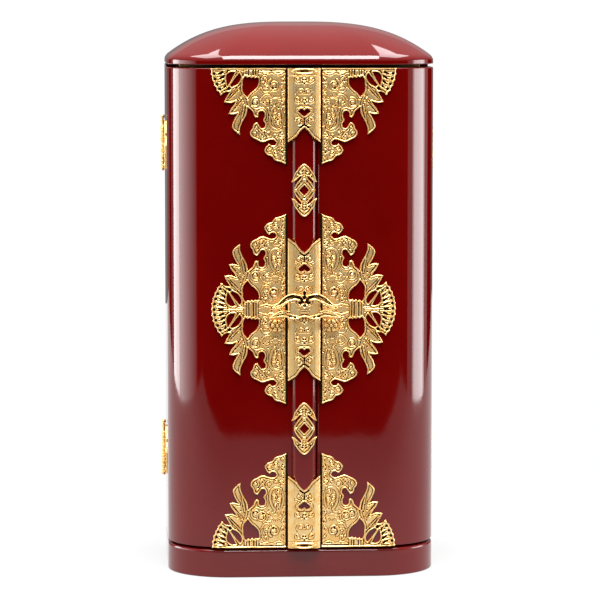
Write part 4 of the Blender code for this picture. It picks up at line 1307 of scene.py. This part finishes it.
def trimmed_leaf(direction, spans):
    """A leaf's relief, cut back from the other leaf's knuckles."""
    relief = leaf_relief(direction)
    touching = np.zeros(relief.x.shape, bool)
    for bottom, top in spans:
        touching |= (relief.z > bottom) & (relief.z < top)
    edge = np.where(touching, relief.edge, np.minimum(relief.edge, relief.u - 1.1))
    least = 0.1 * GRAIN
    relief.edge = np.where(np.abs(edge) < least, least * np.sign(edge + 1e-9), edge)
    return relief


def outward_faces(piece):
    form = bmesh.new()
    form.from_mesh(piece.data)
    bmesh.ops.recalc_face_normals(form, faces=form.faces[:])
    form.to_mesh(piece.data)
    form.free()


def make_hinge(word, side, level):
    """Two chased leaves, three ringed knuckles, and a pin with ball finials."""
    name = f"hinge_{word}_{level}"
    low, high = corners(f"{name}_frame_leaf")
    height = (low[2] + high[2]) / 2
    sixth = BARREL_LENGTH / 6
    end = BARREL_LENGTH / 2 - 0.2

    def on_side(x, z, out):
        return side * (LEAF_LOW - 0.25 + out), x, height + z

    frame_spans = [(-end, -sixth - KNUCKLE_PLAY), (sixth + KNUCKLE_PLAY, end)]
    door_spans = [(-sixth + KNUCKLE_PLAY, sixth - KNUCKLE_PLAY)]
    for part, direction, body, spans in (
        ("frame_leaf", 1, "case", frame_spans),
        ("door_leaf", -1, f"{word}_door", door_spans),
    ):
        leaf = plate_mesh(trimmed_leaf(direction, spans), on_side, 0.0)
        knuckles = [
            knuckle(bottom, top, side * HINGE_AXIS, height, HINGE_NECK if top == end else 0.0)
            for bottom, top in spans
        ]
        piece = gilt_piece(f"{name}_{part}_chased", *joined(leaf, *knuckles), 50)
        outward_faces(piece)
        stands_for(piece, f"{name}_{part}", body)
    make_hinge_pin(name, side, height)


def make_hinge_pin(name, side, height):
    """Pin with a flat head below and a ball finial on a collar above."""

    def upright(a, b, along):
        return side * HINGE_AXIS + a, b, height + along

    ball = 9.25
    r = 0.75
    profile = [(0.0, -8.5), (0.45, -8.5), (0.62, -8.4), (0.62, -8.24), (PIN_RADIUS, -8.2)]
    profile += [(PIN_RADIUS, 8.2), (0.55, 8.22), (0.55, 8.4), (0.38, 8.5)]
    profile += [(r * math.cos(t), ball + r * math.sin(t)) for t in np.linspace(-1.0, 1.45, 12)]
    points, faces = turned(profile + [(0.0, ball + r)], 24, upright)
    pin = new_piece(f"{name}_pin_with_finial", points, turned_over(faces), [GILT], 50)
    stands_for(pin, f"{name}_pin", "case")


def studio_floor():
    """Plain pale table top that glows, as painted light, so that it reads as white: the glow is dimmer in
    front, where only the lacquer's reflection shows it, and near the object its own shading shows through.
    """
    finish = Finish("white_table")
    place = finish.place()
    away = finish.add("ShaderNodeVectorMath", {"operation": "LENGTH"}, {0: place}, output="Value")
    split = finish.add("ShaderNodeSeparateXYZ", None, {0: place}, output="Y")
    glow = finish.mixed(split.ramp(-0.33, -0.08), (0.56, 0.56, 0.56, 1), (1.02, 1.02, 1.02, 1))
    shine = finish.add("ShaderNodeEmission", None, {"Color": glow})
    matt = finish.add("ShaderNodeBsdfDiffuse", None, {"Color": (0.4, 0.4, 0.4, 1)})
    inputs = {0: 0.72 + 0.28 * away.ramp(0.06, 0.2), 1: matt, 2: shine}
    finish.finish_with(finish.add("ShaderNodeMixShader", None, inputs))
    half_width, near, far = 480, -366, 900
    points = [(-half_width, near, 0), (half_width, near, 0), (half_width, far, 0), (-half_width, far, 0)]
    floor = new_piece("table_top", points, [[0, 1, 2, 3]], [finish.material])


def softbox(name, place, aim, size, radiance, colour=(1, 1, 1)):
    """Rectangular light at place, in millimetres, turned to aim. radiance is its brightness, 1 for white."""
    light = bpy.data.lights.new(name, "AREA")
    light.shape = "RECTANGLE"
    light.size, light.size_y = size[0] * MM, size[1] * MM
    light.energy = radiance * math.pi * light.size * light.size_y
    light.color = colour
    lamp = bpy.data.objects.new(name, light)
    bpy.context.scene.collection.objects.link(lamp)
    lamp.location = Vector(place) * MM
    way = Vector(aim) - Vector(place)
    lamp.rotation_euler = way.to_track_quat("-Z", "Y").to_euler()
    lamp.visible_camera = False


def around(azimuth, elevation, away):
    """A place seen from the case's middle at these angles, azimuth 0 in front and 90 at the right."""
    turn, rise = math.radians(azimuth), math.radians(elevation)
    flat = away * math.cos(rise)
    return flat * math.sin(turn), -flat * math.cos(turn), 90 + away * math.sin(rise)


def wall_box(name, corner, first, last, radiance, away=700, height=480):
    """Upright light that fills azimuths first to last as seen from a corner of the case."""
    turn = math.radians((first + last) / 2)
    width = 2 * away * math.tan(math.radians(abs(last - first)) / 2)
    place = (corner[0] + away * math.sin(turn), corner[1] - away * math.cos(turn), 90)
    softbox(name, place, (corner[0], corner[1], 90), (width, height), radiance)


def make_lights():
    """A bright window above the front, walls of light at both sides, a dim wall behind."""
    left, right = (-37.5, -28), (36.5, -30)
    softbox("front_window", around(-1, 59, 1100), (0, -35, 166), (400, 760), 20)
    softbox("ceiling_left", around(-90, 68, 1000), (0, 0, 166), (700, 420), 9)
    softbox("ceiling_right", around(90, 68, 1000), (0, 0, 166), (700, 420), 9)
    wall_box("left_window", left, -127, -108, 9)
    for step in range(7):
        wall_box(f"left_wall_{step}", left, -108, -66.5 - 5.5 * step, 0.68, 710 + 5 * step)
    wall_box("left_edge", left, -136.5, -63.5, 0.4, 760)
    for step in range(3):
        wall_box(f"right_window_{step}", right, 78.5 + 2.5 * step, 114.5 - 3 * step, 2.7, 700 + 5 * step)
    wall_box("right_edge", right, 67.5, 125.5, 0.7, 730)
    softbox("back_wall", (0, 1000, 200), (0, 0, 200), (1400, 900), 0.22)


def make_world():
    """White to the camera. In reflections, dark at table height and paler towards the zenith."""
    world = bpy.data.worlds.new("studio")
    bpy.context.scene.world = world
    world.use_nodes = True
    tree = world.node_tree
    tree.nodes.clear()

    def node(kind, **values):
        made = tree.nodes.new(kind)
        for name, value in values.items():
            made.inputs[name].default_value = value
        return made

    direction = node("ShaderNodeTexCoord")
    split = node("ShaderNodeSeparateXYZ")
    rise = tree.nodes.new("ShaderNodeMapRange")
    rise.inputs["From Min"].default_value = 0.03
    rise.inputs["To Max"].default_value = 1.1
    path = node("ShaderNodeLightPath")
    seen = node("ShaderNodeBackground", Color=(1.03, 1.03, 1.03, 1))
    sky = node("ShaderNodeBackground", Color=(1, 1, 1, 1))
    mix = node("ShaderNodeMixShader")
    output = node("ShaderNodeOutputWorld")
    tree.links.new(direction.outputs["Generated"], split.inputs[0])
    tree.links.new(split.outputs["Z"], rise.inputs["Value"])
    tree.links.new(rise.outputs["Result"], sky.inputs["Strength"])
    tree.links.new(path.outputs["Is Camera Ray"], mix.inputs[0])
    tree.links.new(sky.outputs[0], mix.inputs[1])
    tree.links.new(seen.outputs[0], mix.inputs[2])
    tree.links.new(mix.outputs[0], output.inputs["Surface"])


def make_camera():
    """The photograph's view: from 1.05 m away, a little above the roof and 3.5 degrees to the left."""
    distance_to_axis, height, azimuth, pitch = 1050.0, 185.0, math.radians(3.5), math.radians(5.37)
    camera = bpy.data.cameras.new("camera")
    camera.lens = 191.5
    camera.sensor_width = 36
    camera.clip_start, camera.clip_end = 0.05, 20
    eye = Vector((-math.sin(azimuth), -math.cos(azimuth), 0)) * distance_to_axis
    eye.z = height
    aim = Vector((0.97 * math.cos(azimuth), 0, height - distance_to_axis * math.tan(pitch)))
    stand = bpy.data.objects.new("camera", camera)
    bpy.context.scene.collection.objects.link(stand)
    stand.location = eye * MM
    stand.rotation_euler = (aim - eye).to_track_quat("-Z", "Y").to_euler()
    bpy.context.scene.camera = stand
    bpy.context.scene.view_settings.view_transform = "Standard"


make_base()
make_roof()
make_back_shell()
make_batten()
make_lip()
make_fittings()
make_cap("batten_cap_top", "top_sleeve", (-1,))
make_cap("batten_cap_middle", "middle_sleeve", (-1, 1))
make_cap("batten_cap_bottom", "bottom_sleeve", (1,))
make_lozenges()
make_clasp()
for hand_word, hand_side in (("left", -1), ("right", 1)):
    make_door(hand_word, hand_side)
    make_knob(hand_word, hand_side)
    for hinge_level in ("upper", "lower"):
        make_hinge(hand_word, hand_side, hinge_level)
studio_floor()
make_lights()
make_world()
make_camera()
